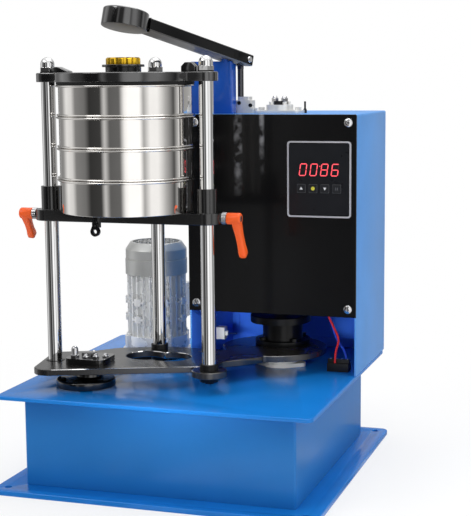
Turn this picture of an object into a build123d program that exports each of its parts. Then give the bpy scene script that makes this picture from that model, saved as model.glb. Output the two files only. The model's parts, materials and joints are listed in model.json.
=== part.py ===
"""Sieve shaker: a sieve stack on an orbiting carriage, with a tapping arm above it.

Millimetres. The origin is the centre of the base's bolt pattern on the floor, +Z is up,
+X is to the right and +Y to the back, seen from the side of the sieves.
"""

import os
from math import acos, atan2, cos, degrees, hypot, pi, radians, sin, sqrt, tan

from build123d import *

os.makedirs("parts", exist_ok=True)

# Base
BASE_LEDGE = 7.5
BASE_THICK = 8
BASE_CORNER = 12
MOUNT_INSET = 20
MOUNT_HOLE_R = 5.5
BOX_HEIGHT = 140
BOX_WALL = 4
DECK_OVERHANG = 33
DECK_THICK = 6
DECK_CORNER = 12
PLATE_EDGE = 1
HATCH_WIDTH = 220
HATCH_HEIGHT = 86
HATCH_LAP = 14
SHEET = 3

# Places in plan: vertical shafts and sieve stack
DRIVE_X, DRIVE_Y = 109, 81
CRANK_X, CRANK_Y = -144, -146
SIEVE_X, SIEVE_Y = -70, -140
THROW = 14

# Clearances
RUNNING = 0.06
GAP = 0.3
END_PLAY = 0.5

# Housing and its panels
HOUSING_WIDTH = 282
HOUSING_DEPTH = 226
HOUSING_HEIGHT = 419
HOUSING_BEHIND = 169
BEND_R = 3
PANEL_HEIGHT = 323
FOLD = 16
FOLD_THICK = 2
ROOF_ROOM = 3
SCREW_INSET = 13
SCREW_HEAD_R = 7
SCREW_HEAD_THICK = 3

# Carriage
PLATE_LIFT = 26
PLATE_THICK = 10
PILLAR_REACH = 129
REAR_REACH = 124
PILLAR_R = 11
STUD_R = 8
FOOT_R = 14
FOOT_DROP = 8
FOOT_RISE = 9

# Sieves
STAGE_LIFT = 224
STAGE_THICK = 17
SLEEVE_HEIGHT = 36
SLEEVE_R = 15
SIEVE_R = 101.5
RIM_R = 105.5
RIM_HEIGHT = 4.5
SIEVE_WALL = 1.2
NEST_DEPTH = 5
LIP_HEIGHT = 3.5
LIP_REACH = 3
PAN_FLOOR = 1.5
PAN_HEIGHT = 51.5
SIEVE_PITCH = 46.9
MESH_THICK = 0.8
SIEVE_COUNT = 3
SEAL_THICK = 3.8

# Cover and plug
COVER_THICK = 14
COVER_R = 107
COLLAR_BASE_HEIGHT = 7.8
COLLAR_RIM_HEIGHT = 3.7
PLUG_HEIGHT = 10.5

# Motor's place
MOTOR_FLANGE_R = 60
MOTOR_ROOM = 29
MOTOR_BEHIND = 23

# Main drive
SHAFT_R = 10
JOURNAL_R = 26
HUB_R = 33.5
HUB_HEIGHT = 37
BEARING_CAP_R = 30
BEARING_CAP_HEIGHT = 12
BELT_WIDTH = 10
BELT_THICK = 6
DRIVE_PULLEY_R = 94
MOTOR_PULLEY_R = 20
PULLEY_LIP = 2
LIP_THICK = 3
LIGHTENING_R = 18
LIGHTENING_COUNT = 5
LIGHTENING_CIRCLE = 54.5
BELT_HEIGHT = 88

# Tapping arm
ARM_ANGLE = 24.5
ARM_TILT = 13.2
ARM_WIDTH = 40
ARM_HEIGHT = 18
ARM_FRONT = 230
ARM_BACK = 33
ARM_TAIL = 9
TAP_X, TAP_Y = -70, -147
PIVOT_RISE = 5
PIVOT_R = 6
WEIGHT_R = 35
WEIGHT_ABOVE = 12
WEIGHT_BELOW = 15
ROD_R = 5

# Heights that follow
deck_top = BASE_THICK + BOX_HEIGHT + DECK_THICK
deck_under = deck_top - DECK_THICK
plate_z = deck_top + PLATE_LIFT
plate_top = plate_z + PLATE_THICK
stage_z = plate_top + STAGE_LIFT
stage_top = stage_z + STAGE_THICK
stack_top = stage_top + PAN_HEIGHT + SIEVE_COUNT * SIEVE_PITCH
cover_z = stack_top + SEAL_THICK
cover_top = cover_z + COVER_THICK
plug_z = cover_top + COLLAR_BASE_HEIGHT + COLLAR_RIM_HEIGHT
plug_top = plug_z + PLUG_HEIGHT
roof_z = deck_top + HOUSING_HEIGHT
panel_z = roof_z - PANEL_HEIGHT

# Plan places that follow
housing_x = DRIVE_X
housing_right = housing_x + HOUSING_WIDTH / 2
housing_left = housing_x - HOUSING_WIDTH / 2
housing_back = DRIVE_Y + HOUSING_BEHIND
housing_front = housing_back - HOUSING_DEPTH
deck_side = 2 * max(housing_right, housing_back)
base_side = deck_side + 2 * BASE_LEDGE
box_side = deck_side - 2 * DECK_OVERHANG
motor_x = housing_left - MOTOR_ROOM - MOTOR_FLANGE_R
motor_y = DRIVE_Y + MOTOR_BEHIND
pin_x, pin_y = DRIVE_X, DRIVE_Y + THROW
crank_pin_x, crank_pin_y = CRANK_X, CRANK_Y + THROW
front_left = (SIEVE_X - PILLAR_REACH, SIEVE_Y)
front_right = (SIEVE_X + PILLAR_REACH, SIEVE_Y)
rear = (SIEVE_X, SIEVE_Y + REAR_REACH)
arm_dx, arm_dy = sin(radians(ARM_ANGLE)), cos(radians(ARM_ANGLE))
pivot_x, pivot_y = TAP_X + ARM_FRONT * arm_dx, TAP_Y + ARM_FRONT * arm_dy
pivot_z = plug_top + PIVOT_RISE
tail_reach = ARM_BACK * cos(radians(ARM_TILT))
rod_x, rod_y = pivot_x + tail_reach * arm_dx, pivot_y + tail_reach * arm_dy
tail_z = pivot_z - ARM_BACK * sin(radians(ARM_TILT))
pillar_spots = {"front_left": front_left, "front_right": front_right, "rear": rear}


def write(name, part):
    """Label a finished piece and write it as its own STEP file."""
    part.label = name
    export_step(part, f"parts/{name}.step")


# Base: floor plate, box walls, deck and the hatch at the back

with BuildPart() as base_plate:
    with BuildSketch():
        RectangleRounded(base_side, base_side, BASE_CORNER)
        with GridLocations(base_side - 2 * MOUNT_INSET, base_side - 2 * MOUNT_INSET, 2, 2):
            Circle(MOUNT_HOLE_R, mode=Mode.SUBTRACT)
    extrude(amount=BASE_THICK)
    chamfer(base_plate.faces().sort_by(Axis.Z)[-1].outer_wire().edges(), PLATE_EDGE)
write("base_plate", base_plate.part)

hatch_z = BASE_THICK + BOX_HEIGHT / 2
with BuildPart() as base_walls:
    with BuildSketch(Plane.XY.offset(BASE_THICK)):
        RectangleRounded(box_side, box_side, BOX_WALL)
        Rectangle(box_side - 2 * BOX_WALL, box_side - 2 * BOX_WALL, mode=Mode.SUBTRACT)
    extrude(amount=BOX_HEIGHT)
    with BuildSketch(Plane.XZ.offset(-box_side / 2)):
        with Locations((0, hatch_z)):
            Rectangle(HATCH_WIDTH, HATCH_HEIGHT)
    extrude(amount=BOX_WALL * 2, both=True, mode=Mode.SUBTRACT)
write("base_walls", base_walls.part)

hatch_back = box_side / 2 + SHEET
hatch_screw_x = HATCH_WIDTH + HATCH_LAP
hatch_screw_z = HATCH_HEIGHT + HATCH_LAP
with BuildPart() as base_hatch:
    with BuildSketch(Plane.XZ.offset(-hatch_back)):
        with Locations((0, hatch_z)):
            RectangleRounded(HATCH_WIDTH + 2 * HATCH_LAP, HATCH_HEIGHT + 2 * HATCH_LAP, 4)
    extrude(amount=SHEET)
write("base_hatch", base_hatch.part)

MOTOR_SPIGOT_R = 25
CRANK_BOSS_R = 24
with BuildPart() as deck:
    with BuildSketch(Plane.XY.offset(deck_under)):
        RectangleRounded(deck_side, deck_side, DECK_CORNER)
        with Locations((DRIVE_X, DRIVE_Y), (CRANK_X, CRANK_Y)):
            Circle(CRANK_BOSS_R, mode=Mode.SUBTRACT)
        with Locations((motor_x, motor_y)):
            Circle(MOTOR_SPIGOT_R, mode=Mode.SUBTRACT)
    extrude(amount=DECK_THICK)
    chamfer(deck.faces().sort_by(Axis.Z)[-1].outer_wire().edges(), PLATE_EDGE)
write("deck", deck.part)

# Housing: a folded shell, glossy front panel and rear cover

shell_front = housing_front + SHEET
shell_back = housing_back - SHEET
shell_depth = shell_back - shell_front
shell_y = (shell_front + shell_back) / 2
with BuildPart() as housing_shell:
    with BuildSketch(Plane.XY.offset(deck_top)):
        with Locations((housing_x, shell_y)):
            Rectangle(HOUSING_WIDTH, shell_depth)
            Rectangle(HOUSING_WIDTH - 2 * SHEET, shell_depth, mode=Mode.SUBTRACT)
    extrude(amount=HOUSING_HEIGHT)
    with BuildSketch(Plane.XY.offset(roof_z - SHEET)):
        with Locations((housing_x, shell_y)):
            Rectangle(HOUSING_WIDTH, shell_depth)
        with Locations((DRIVE_X, DRIVE_Y)):
            Circle(SHAFT_R + ROOF_ROOM, mode=Mode.SUBTRACT)
        with Locations((rod_x, rod_y)):
            Circle(ROD_R + ROOF_ROOM, mode=Mode.SUBTRACT)
    extrude(amount=SHEET)
    with BuildSketch(Plane.XZ.offset(-shell_front)):
        with Locations((housing_x, (panel_z + roof_z) / 2)):
            Rectangle(HOUSING_WIDTH, PANEL_HEIGHT)
            Rectangle(HOUSING_WIDTH - 2 * FOLD, PANEL_HEIGHT - 2 * FOLD, mode=Mode.SUBTRACT)
    extrude(amount=-FOLD_THICK)
    with BuildSketch(Plane.XZ.offset(-shell_back)):
        with Locations((housing_x, (deck_top + roof_z) / 2)):
            Rectangle(HOUSING_WIDTH, HOUSING_HEIGHT)
            Rectangle(HOUSING_WIDTH - 2 * FOLD, HOUSING_HEIGHT - 2 * FOLD, mode=Mode.SUBTRACT)
    extrude(amount=FOLD_THICK)
    fillet(housing_shell.edges().filter_by(Axis.Y).group_by(Axis.Z)[-1], BEND_R)
write("housing_shell", housing_shell.part)

DISPLAY_WIDTH = 104
DISPLAY_HEIGHT = 121
DISPLAY_INSET = 60
DISPLAY_DROP = 102.5
BOARD_WINDOW = 48
display_x = housing_right - DISPLAY_INSET
display_z = roof_z - DISPLAY_DROP
with BuildPart() as front_panel:
    with BuildSketch(Plane.XZ.offset(-housing_front)):
        with Locations((housing_x, (panel_z + roof_z) / 2)):
            Rectangle(HOUSING_WIDTH, PANEL_HEIGHT)
        with Locations((display_x, display_z)):
            Rectangle(BOARD_WINDOW, BOARD_WINDOW, mode=Mode.SUBTRACT)
    extrude(amount=-SHEET)
    fillet(front_panel.edges().filter_by(Axis.Y).group_by(Axis.Z)[-1], BEND_R)
    fillet(front_panel.faces().sort_by(Axis.Y)[0].outer_wire().edges(), PLATE_EDGE)
write("front_panel", front_panel.part)

with BuildPart() as rear_cover:
    with BuildSketch(Plane.XZ.offset(-housing_back)):
        with Locations((housing_x, (deck_top + roof_z) / 2)):
            Rectangle(HOUSING_WIDTH, HOUSING_HEIGHT)
    extrude(amount=SHEET)
    fillet(rear_cover.edges().filter_by(Axis.Y).group_by(Axis.Z)[-1], BEND_R)
write("rear_cover", rear_cover.part)

panel_screw_x = HOUSING_WIDTH - 2 * SCREW_INSET
with BuildPart() as cover_screws:
    with BuildSketch(Plane.XZ.offset(-housing_front)):
        with Locations((housing_x, (panel_z + roof_z) / 2)):
            with GridLocations(panel_screw_x, PANEL_HEIGHT - 2 * SCREW_INSET, 2, 2):
                Circle(SCREW_HEAD_R)
    extrude(amount=SCREW_HEAD_THICK, taper=28)
    with BuildSketch(Plane.XZ.offset(-housing_back)):
        with Locations((housing_x, (deck_top + roof_z) / 2)):
            with GridLocations(panel_screw_x, HOUSING_HEIGHT / 2 - SCREW_INSET, 2, 3):
                Circle(SCREW_HEAD_R)
    extrude(amount=-SCREW_HEAD_THICK, taper=28)
    with BuildSketch(Plane.XZ.offset(-hatch_back)):
        with Locations((0, hatch_z)):
            with GridLocations(hatch_screw_x, hatch_screw_z, 2, 2):
                Circle(SCREW_HEAD_R)
    extrude(amount=-SCREW_HEAD_THICK, taper=28)
write("cover_screws", cover_screws.part)

# Display: bezel frame, dark face and four keys

KEY_SIDE = 13
KEY_PITCH = 19.3
KEY_THICK = 4
KEY_TRAVEL = 0.8
KEY_DROP = 14.5
BEZEL_BORDER = 4
BEZEL_THICK = 3
FACE_THICK = 2
KEY_NAMES = ("key_up", "key_mode", "key_down", "key_start")
with BuildPart() as display_bezel:
    with BuildSketch(Plane.XZ.offset(-housing_front)):
        with Locations((display_x, display_z)):
            RectangleRounded(DISPLAY_WIDTH, DISPLAY_HEIGHT, 6)
            RectangleRounded(
                DISPLAY_WIDTH - 2 * BEZEL_BORDER, DISPLAY_HEIGHT - 2 * BEZEL_BORDER, 3, mode=Mode.SUBTRACT
            )
    extrude(amount=BEZEL_THICK)
write("display_bezel", display_bezel.part)

key_z = display_z - KEY_DROP
key_xs = [display_x + KEY_PITCH * (index - 1.5) for index in range(len(KEY_NAMES))]
with BuildPart() as display_face:
    with BuildSketch(Plane.XZ.offset(-housing_front)):
        with Locations((display_x, display_z)):
            RectangleRounded(DISPLAY_WIDTH - 2 * BEZEL_BORDER, DISPLAY_HEIGHT - 2 * BEZEL_BORDER, 3)
        with Locations([(key_x, key_z) for key_x in key_xs]):
            Rectangle(KEY_SIDE + 2 * GAP, KEY_SIDE + 2 * GAP, mode=Mode.SUBTRACT)
    extrude(amount=FACE_THICK)
write("display_face", display_face.part)

for key_name, key_x in zip(KEY_NAMES, key_xs):
    with BuildPart() as key:
        with BuildSketch(Plane.XZ.offset(-housing_front + KEY_TRAVEL + GAP)):
            with Locations((key_x, key_z)):
                RectangleRounded(KEY_SIDE, KEY_SIDE, 2)
        extrude(amount=FACE_THICK)
    write(key_name, key.part)

BOARD_THICK = 1.6
BOARD_STANDOFF = 12
BOARD_SHIFT = 30
STANDOFF_R = 3
STANDOFF_INSET = 4
SOCKET_WIDTH = 70
SOCKET_HEIGHT = 12
SOCKET_DROP = 45
RELAY_SIDE = 30
RELAY_RISE = 25
RELAY_DEPTH = 14
board_x = display_x - BOARD_SHIFT
board_y = housing_front + SHEET + BOARD_STANDOFF
with BuildPart() as control_board:
    with BuildSketch(Plane.XZ.offset(-board_y)):
        with Locations((board_x, display_z)):
            Rectangle(DISPLAY_WIDTH, DISPLAY_HEIGHT)
    extrude(amount=-BOARD_THICK)
    with BuildSketch(Plane.XZ.offset(-board_y)):
        with Locations((board_x, display_z)):
            with GridLocations(DISPLAY_WIDTH - 2 * STANDOFF_INSET, DISPLAY_HEIGHT - 2 * STANDOFF_INSET, 2, 2):
                Circle(STANDOFF_R)
    extrude(amount=BOARD_STANDOFF)
    with BuildSketch(Plane.XZ.offset(-board_y - BOARD_THICK)):
        with Locations((board_x, display_z - SOCKET_DROP)):
            Rectangle(SOCKET_WIDTH, SOCKET_HEIGHT)
        with Locations((board_x, display_z + RELAY_RISE)):
            Rectangle(RELAY_SIDE, RELAY_SIDE)
    extrude(amount=-RELAY_DEPTH)
write("control_board", control_board.part)

# Hammer post on the housing roof, with a tongue for the arm's pivot

POST_WIDTH = 70
POST_DEPTH = 26
POST_FRONT = 54
POST_DROP = 10
POST_SLOPE = 6
POST_WALL = 3
POST_CAP = 5
POST_BEND_R = 2
TONGUE_THICK = 10
TONGUE_TOP_R = 9
TONGUE_HEIGHT = 12
post_face_z = pivot_z - POST_DROP
post_back_z = post_face_z - POST_SLOPE
post_side = Plane.YZ.offset(-POST_WIDTH / 2)
arm_across = Vector(arm_dy, -arm_dx, 0)
pivot_plane = Plane(origin=(pivot_x, pivot_y, pivot_z), x_dir=(arm_dx, arm_dy, 0), z_dir=arm_across)
with BuildPart() as hammer_post:
    with BuildSketch(post_side):
        Polygon(
            (POST_FRONT, roof_z),
            (POST_FRONT + POST_DEPTH, roof_z),
            (POST_FRONT + POST_DEPTH, post_back_z),
            (POST_FRONT, post_face_z),
            align=None,
        )
    extrude(amount=POST_WIDTH)
    with BuildSketch(post_side.offset(POST_WALL)):
        Polygon(
            (POST_FRONT + POST_WALL, roof_z),
            (POST_FRONT + POST_DEPTH - POST_WALL, roof_z),
            (POST_FRONT + POST_DEPTH - POST_WALL, post_back_z - POST_CAP),
            (POST_FRONT + POST_WALL, post_face_z - POST_CAP),
            align=None,
        )
    extrude(amount=POST_WIDTH - 2 * POST_WALL, mode=Mode.SUBTRACT)
    fillet(hammer_post.edges().filter_by(Axis.Z), POST_BEND_R)
    with BuildSketch(pivot_plane.offset(-TONGUE_THICK / 2)):
        Circle(TONGUE_TOP_R)
        with Locations((0, -TONGUE_HEIGHT / 2)):
            Rectangle(2 * TONGUE_TOP_R, TONGUE_HEIGHT)
    extrude(amount=TONGUE_THICK)
    with BuildSketch(pivot_plane.offset(-TONGUE_THICK)):
        Circle(PIVOT_R)
    extrude(amount=2 * TONGUE_THICK, mode=Mode.SUBTRACT)
write("hammer_post", hammer_post.part)

# Tapping arm: a bar with a round weight, modelled level and then tilted about its pivot

TONGUE_SLOT = TONGUE_THICK + 2 * END_PLAY
EYE_THICK = 8
EYE_SLOT = EYE_THICK + 2 * END_PLAY
COLLAR_THICK = 4
EYE_R = 7
BOLT_R = 3
arm_level = Plane(origin=(pivot_x, pivot_y, pivot_z), x_dir=(arm_dx, arm_dy, 0), z_dir=(0, 0, 1))
tilt_axis = Axis((pivot_x, pivot_y, pivot_z), (-arm_dy, arm_dx, 0))
arm_end = ARM_BACK + ARM_TAIL
arm_start = -ARM_FRONT + WEIGHT_R - 4
with BuildPart() as tapping_arm:
    with BuildSketch(arm_level.offset(-ARM_HEIGHT / 2)):
        with Locations(((arm_start + arm_end) / 2, 0)):
            Rectangle(arm_end - arm_start, ARM_WIDTH)
        with Locations((-ARM_FRONT, 0)):
            Circle(WEIGHT_R, mode=Mode.SUBTRACT)
    extrude(amount=ARM_HEIGHT)
    chamfer(tapping_arm.edges().filter_by(Axis((0, 0, 0), (arm_dx, arm_dy, 0))), 1.5)
    with BuildSketch(arm_level.offset(-ARM_HEIGHT)):
        Rectangle(2 * TONGUE_TOP_R + 6, TONGUE_SLOT)
        with Locations((arm_end, 0)):
            Rectangle(2 * (arm_end - ARM_BACK + EYE_R + 3), EYE_SLOT)
    extrude(amount=2 * ARM_HEIGHT, mode=Mode.SUBTRACT)
    with BuildSketch(pivot_plane.offset(-ARM_WIDTH)):
        Circle(PIVOT_R + RUNNING)
        with Locations((ARM_BACK, 0)):
            Circle(BOLT_R)
    extrude(amount=2 * ARM_WIDTH, mode=Mode.SUBTRACT)
write("tapping_arm", tapping_arm.part.rotate(tilt_axis, ARM_TILT))

with BuildPart() as arm_weight:
    with BuildSketch(arm_level.offset(-WEIGHT_BELOW + 2)):
        with Locations((-ARM_FRONT, 0)):
            Circle(WEIGHT_R + COLLAR_THICK)
            with Locations((-WEIGHT_R, 0)):
                Rectangle(4 * WEIGHT_R - 2 * COLLAR_THICK, 3 * WEIGHT_R, mode=Mode.SUBTRACT)
    extrude(amount=WEIGHT_ABOVE + WEIGHT_BELOW - 5)
    with BuildSketch(arm_level.offset(-ARM_HEIGHT / 2)):
        with Locations(((arm_start + arm_end) / 2, 0)):
            Rectangle(arm_end - arm_start, ARM_WIDTH)
    extrude(amount=ARM_HEIGHT, mode=Mode.SUBTRACT)
    with BuildSketch(arm_level.offset(-WEIGHT_BELOW)):
        with Locations((-ARM_FRONT, 0)):
            Circle(WEIGHT_R)
    extrude(amount=WEIGHT_ABOVE + WEIGHT_BELOW)
    fillet(arm_weight.edges().sort_by(Axis.Z)[-1], 2.5)
    chamfer(arm_weight.edges().sort_by(Axis.Z)[0], 1)
write("arm_weight", arm_weight.part.rotate(tilt_axis, ARM_TILT))

with BuildPart() as pivot_pin:
    with BuildSketch(pivot_plane.offset(-ARM_WIDTH / 2)):
        Circle(PIVOT_R)
    extrude(amount=ARM_WIDTH)
write("pivot_pin", pivot_pin.part)

with BuildPart() as tail_bolt:
    with BuildSketch(pivot_plane.offset(-ARM_WIDTH / 2)):
        with Locations((ARM_BACK, 0)):
            Circle(BOLT_R)
    extrude(amount=ARM_WIDTH)
    with BuildSketch(pivot_plane.offset(ARM_WIDTH / 2)):
        with Locations((ARM_BACK, 0)):
            Circle(5.5)
    extrude(amount=3, taper=20)
    with BuildSketch(pivot_plane.offset(-ARM_WIDTH / 2 - 4)):
        with Locations((ARM_BACK, 0)):
            RegularPolygon(5.8, 6)
    extrude(amount=4)
write("tail_bolt", tail_bolt.part.rotate(tilt_axis, ARM_TILT))

# Lift rod with its eye, follower and guide

GEAR_MODULE = 2.5
PINION_TEETH = 20
CAM_TEETH = 37
PRESSURE_ANGLE = 20
BACKLASH = 1.0
LAY_R = 8
SHELF_THICK = 6
ROD_TO_LAY = 56
gear_centres = GEAR_MODULE * (PINION_TEETH + CAM_TEETH) / 2
drive_to_rod = hypot(rod_x - DRIVE_X, rod_y - DRIVE_Y)
rod_bearing = atan2(rod_y - DRIVE_Y, rod_x - DRIVE_X)
lay_swing = acos(
    (gear_centres**2 + drive_to_rod**2 - ROD_TO_LAY**2) / (2 * gear_centres * drive_to_rod)
)
lay_bearing = rod_bearing - lay_swing
lay_x = DRIVE_X + gear_centres * cos(lay_bearing)
lay_y = DRIVE_Y + gear_centres * sin(lay_bearing)
EYE_CLEARANCE = 1.1
EYE_NECK = 15
CAM_LIFT = 6
FOLLOWER_REACH = 15
ROLLER_R = 6
ROLLER_LENGTH = 8
GEAR_DROP = 119
gear_z = roof_z - GEAR_DROP
GEAR_THICK = 12
CAM_HEIGHT = CAM_LIFT + 2
roller_z = gear_z - CAM_HEIGHT - GAP - ROLLER_R
SHELF_DROP = 46
shelf_z = gear_z - SHELF_DROP
rod_foot = shelf_z - 12
follower_plane = Plane(
    origin=(rod_x, rod_y, roller_z - ROLLER_R), x_dir=(lay_x - rod_x, lay_y - rod_y, 0), z_dir=(0, 0, 1)
)
tail_plane = Plane(origin=(rod_x, rod_y, tail_z), x_dir=(arm_dx, arm_dy, 0), z_dir=arm_across)
with BuildPart() as lift_rod:
    with BuildSketch(Plane.XY.offset(rod_foot)):
        with Locations((rod_x, rod_y)):
            Circle(ROD_R)
    extrude(amount=tail_z - EYE_NECK - rod_foot)
    with BuildSketch(tail_plane.offset(-EYE_THICK / 2)):
        Circle(EYE_R)
        with Locations((0, -EYE_NECK / 2)):
            Rectangle(1.4 * ROD_R, EYE_NECK)
        Circle(BOLT_R + EYE_CLEARANCE, mode=Mode.SUBTRACT)
    extrude(amount=EYE_THICK)
    with BuildSketch(follower_plane.offset(-14)):
        Circle(ROD_R + 5)
        with Locations((FOLLOWER_REACH / 2, 0)):
            Rectangle(FOLLOWER_REACH, ROLLER_LENGTH)
    extrude(amount=12)
    with BuildSketch(follower_plane.offset(-14)):
        with Locations((FOLLOWER_REACH, 0)):
            Circle(ROLLER_LENGTH / 2)
    extrude(amount=14 + ROLLER_R)
    with BuildSketch(follower_plane.offset(ROLLER_R)):
        with Locations((FOLLOWER_REACH, 0)):
            Circle(ROLLER_LENGTH / 2)
    extrude(amount=ROLLER_R, taper=20)
write("lift_rod", lift_rod.part)

# Gear stage inside the housing: pinion on the main shaft, cam gear on a layshaft

rod_from_lay = atan2(rod_y - lay_y, rod_x - lay_x)


def gear_outline(teeth):
    """Return the points of one trapezoid-flanked tooth per pitch, from root to tip and back."""
    pitch_r = GEAR_MODULE * teeth / 2
    root_r = pitch_r - 1.25 * GEAR_MODULE
    tip_r = pitch_r + 0.9 * GEAR_MODULE
    half_pitch_width = (pi * GEAR_MODULE - BACKLASH) / 4
    slope = tan(radians(PRESSURE_ANGLE))
    root_half = (half_pitch_width + (pitch_r - root_r) * slope) / root_r
    tip_half = (half_pitch_width - (tip_r - pitch_r) * slope) / tip_r
    points = []
    for tooth in range(teeth):
        middle = 2 * pi * tooth / teeth
        for radius, turn in (
            (root_r, -root_half),
            (pitch_r, -half_pitch_width / pitch_r),
            (tip_r, -tip_half),
            (tip_r, tip_half),
            (pitch_r, half_pitch_width / pitch_r),
            (root_r, root_half),
        ):
            points.append((radius * cos(middle + turn), radius * sin(middle + turn)))
    return points


def gear_plane(x, y, z, turn):
    """Place a gear's own plane at a shaft, with its first tooth turned to the given angle."""
    return Plane(origin=(x, y, z), x_dir=(cos(turn), sin(turn), 0), z_dir=(0, 0, 1))


pinion_plane = gear_plane(DRIVE_X, DRIVE_Y, gear_z, lay_bearing)
with BuildPart() as drive_pinion:
    with BuildSketch(pinion_plane):
        Polygon(*gear_outline(PINION_TEETH), align=None)
        Circle(SHAFT_R, mode=Mode.SUBTRACT)
    extrude(amount=GEAR_THICK)
    with BuildSketch(pinion_plane.offset(-10)):
        Circle(SHAFT_R + 7)
        Circle(SHAFT_R, mode=Mode.SUBTRACT)
    extrude(amount=10)
write("drive_pinion", drive_pinion.part)

cam_mesh_turn = lay_bearing + pi + pi / CAM_TEETH
cam_ring_r = ROD_TO_LAY - FOLLOWER_REACH
CAM_RING_WIDTH = 9
cam_step = degrees(rod_from_lay) + 14
step_plane = gear_plane(lay_x, lay_y, gear_z - CAM_HEIGHT, radians(cam_step))
with BuildPart() as cam_gear:
    with BuildSketch(gear_plane(lay_x, lay_y, gear_z, cam_mesh_turn)):
        Polygon(*gear_outline(CAM_TEETH), align=None)
    extrude(amount=GEAR_THICK)
    with BuildSketch(step_plane):
        Circle(cam_ring_r + CAM_RING_WIDTH / 2)
        Circle(cam_ring_r - CAM_RING_WIDTH / 2, mode=Mode.SUBTRACT)
        with Locations((0, -cam_ring_r)):
            Rectangle(3 * cam_ring_r, 2 * cam_ring_r, mode=Mode.SUBTRACT)
    extrude(amount=CAM_HEIGHT)
    with BuildSketch(Plane(origin=step_plane.origin, x_dir=step_plane.x_dir, z_dir=-step_plane.y_dir)):
        Polygon(
            (cam_ring_r + CAM_RING_WIDTH, 0),
            (-cam_ring_r - CAM_RING_WIDTH, 0),
            (-cam_ring_r - CAM_RING_WIDTH, CAM_HEIGHT),
            align=None,
        )
    extrude(amount=2 * cam_ring_r, both=True, mode=Mode.SUBTRACT)
    with BuildSketch(Plane.XY.offset(gear_z - CAM_HEIGHT - 10)):
        with Locations((lay_x, lay_y)):
            Circle(LAY_R + 8)
    extrude(amount=GEAR_THICK + CAM_HEIGHT + 10)
    with BuildSketch(Plane.XY.offset(shelf_z - 12)):
        with Locations((lay_x, lay_y)):
            Circle(LAY_R)
    extrude(amount=gear_z + GEAR_THICK + 6 - shelf_z + 12)
write("cam_gear", cam_gear.part)

SHELF_FRONT_ROOM = 37
SHELF_BACK_ROOM = 49
shelf_front = housing_front + SHELF_FRONT_ROOM
shelf_back = housing_back - SHELF_BACK_ROOM
with BuildPart() as gear_shelf:
    with BuildSketch(Plane.XY.offset(shelf_z)):
        with Locations((housing_x, (shelf_front + shelf_back) / 2)):
            Rectangle(HOUSING_WIDTH - 2 * SHEET, shelf_back - shelf_front)
        with Locations((DRIVE_X, DRIVE_Y)):
            Circle(SHAFT_R + 12, mode=Mode.SUBTRACT)
        with Locations((rod_x, rod_y)):
            Circle(ROD_R + RUNNING, mode=Mode.SUBTRACT)
    extrude(amount=SHELF_THICK)
    with BuildSketch(Plane.XY.offset(shelf_z - 10)):
        with Locations((lay_x, lay_y)):
            Circle(LAY_R + 9)
    extrude(amount=26)
    with BuildSketch(Plane.XY.offset(shelf_z - 10)):
        with Locations((lay_x, lay_y)):
            Circle(LAY_R + RUNNING)
    extrude(amount=26, mode=Mode.SUBTRACT)
write("gear_shelf", gear_shelf.part)

# Fittings on the housing roof: rod guide and upper shaft bearing

GUIDE_R = 11.5
GUIDE_HEIGHT = 27
GUIDE_EAR = 14
GUIDE_EAR_WIDTH = 18
GUIDE_EAR_THICK = 4
GUIDE_BOLT_R = 4.5
GUIDE_BOLT_HEIGHT = 4
with BuildPart() as rod_guide:
    with BuildSketch(Plane.XZ):
        Polygon(
            (ROD_R + RUNNING, roof_z),
            (GUIDE_R, roof_z),
            (GUIDE_R, roof_z + 4),
            (GUIDE_R - 1.5, roof_z + 5),
            (GUIDE_R - 1.5, roof_z + 14),
            (GUIDE_R - 3.5, roof_z + 22),
            (ROD_R + 1.5, roof_z + GUIDE_HEIGHT),
            (ROD_R + RUNNING, roof_z + GUIDE_HEIGHT),
            align=None,
        )
    revolve(axis=Axis.Z)
    with BuildSketch(Plane.XY.offset(roof_z)):
        with Locations((GUIDE_R + GUIDE_EAR / 2, 0)):
            Rectangle(GUIDE_EAR + 2, GUIDE_EAR_WIDTH)
    extrude(amount=GUIDE_EAR_THICK)
    with BuildSketch(Plane.XY.offset(roof_z + GUIDE_EAR_THICK)):
        with Locations((GUIDE_R + GUIDE_EAR / 2, 0)):
            RegularPolygon(GUIDE_BOLT_R, 6)
    extrude(amount=GUIDE_BOLT_HEIGHT)
write("rod_guide", rod_guide.part.moved(Location((rod_x, rod_y, 0))))

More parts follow.
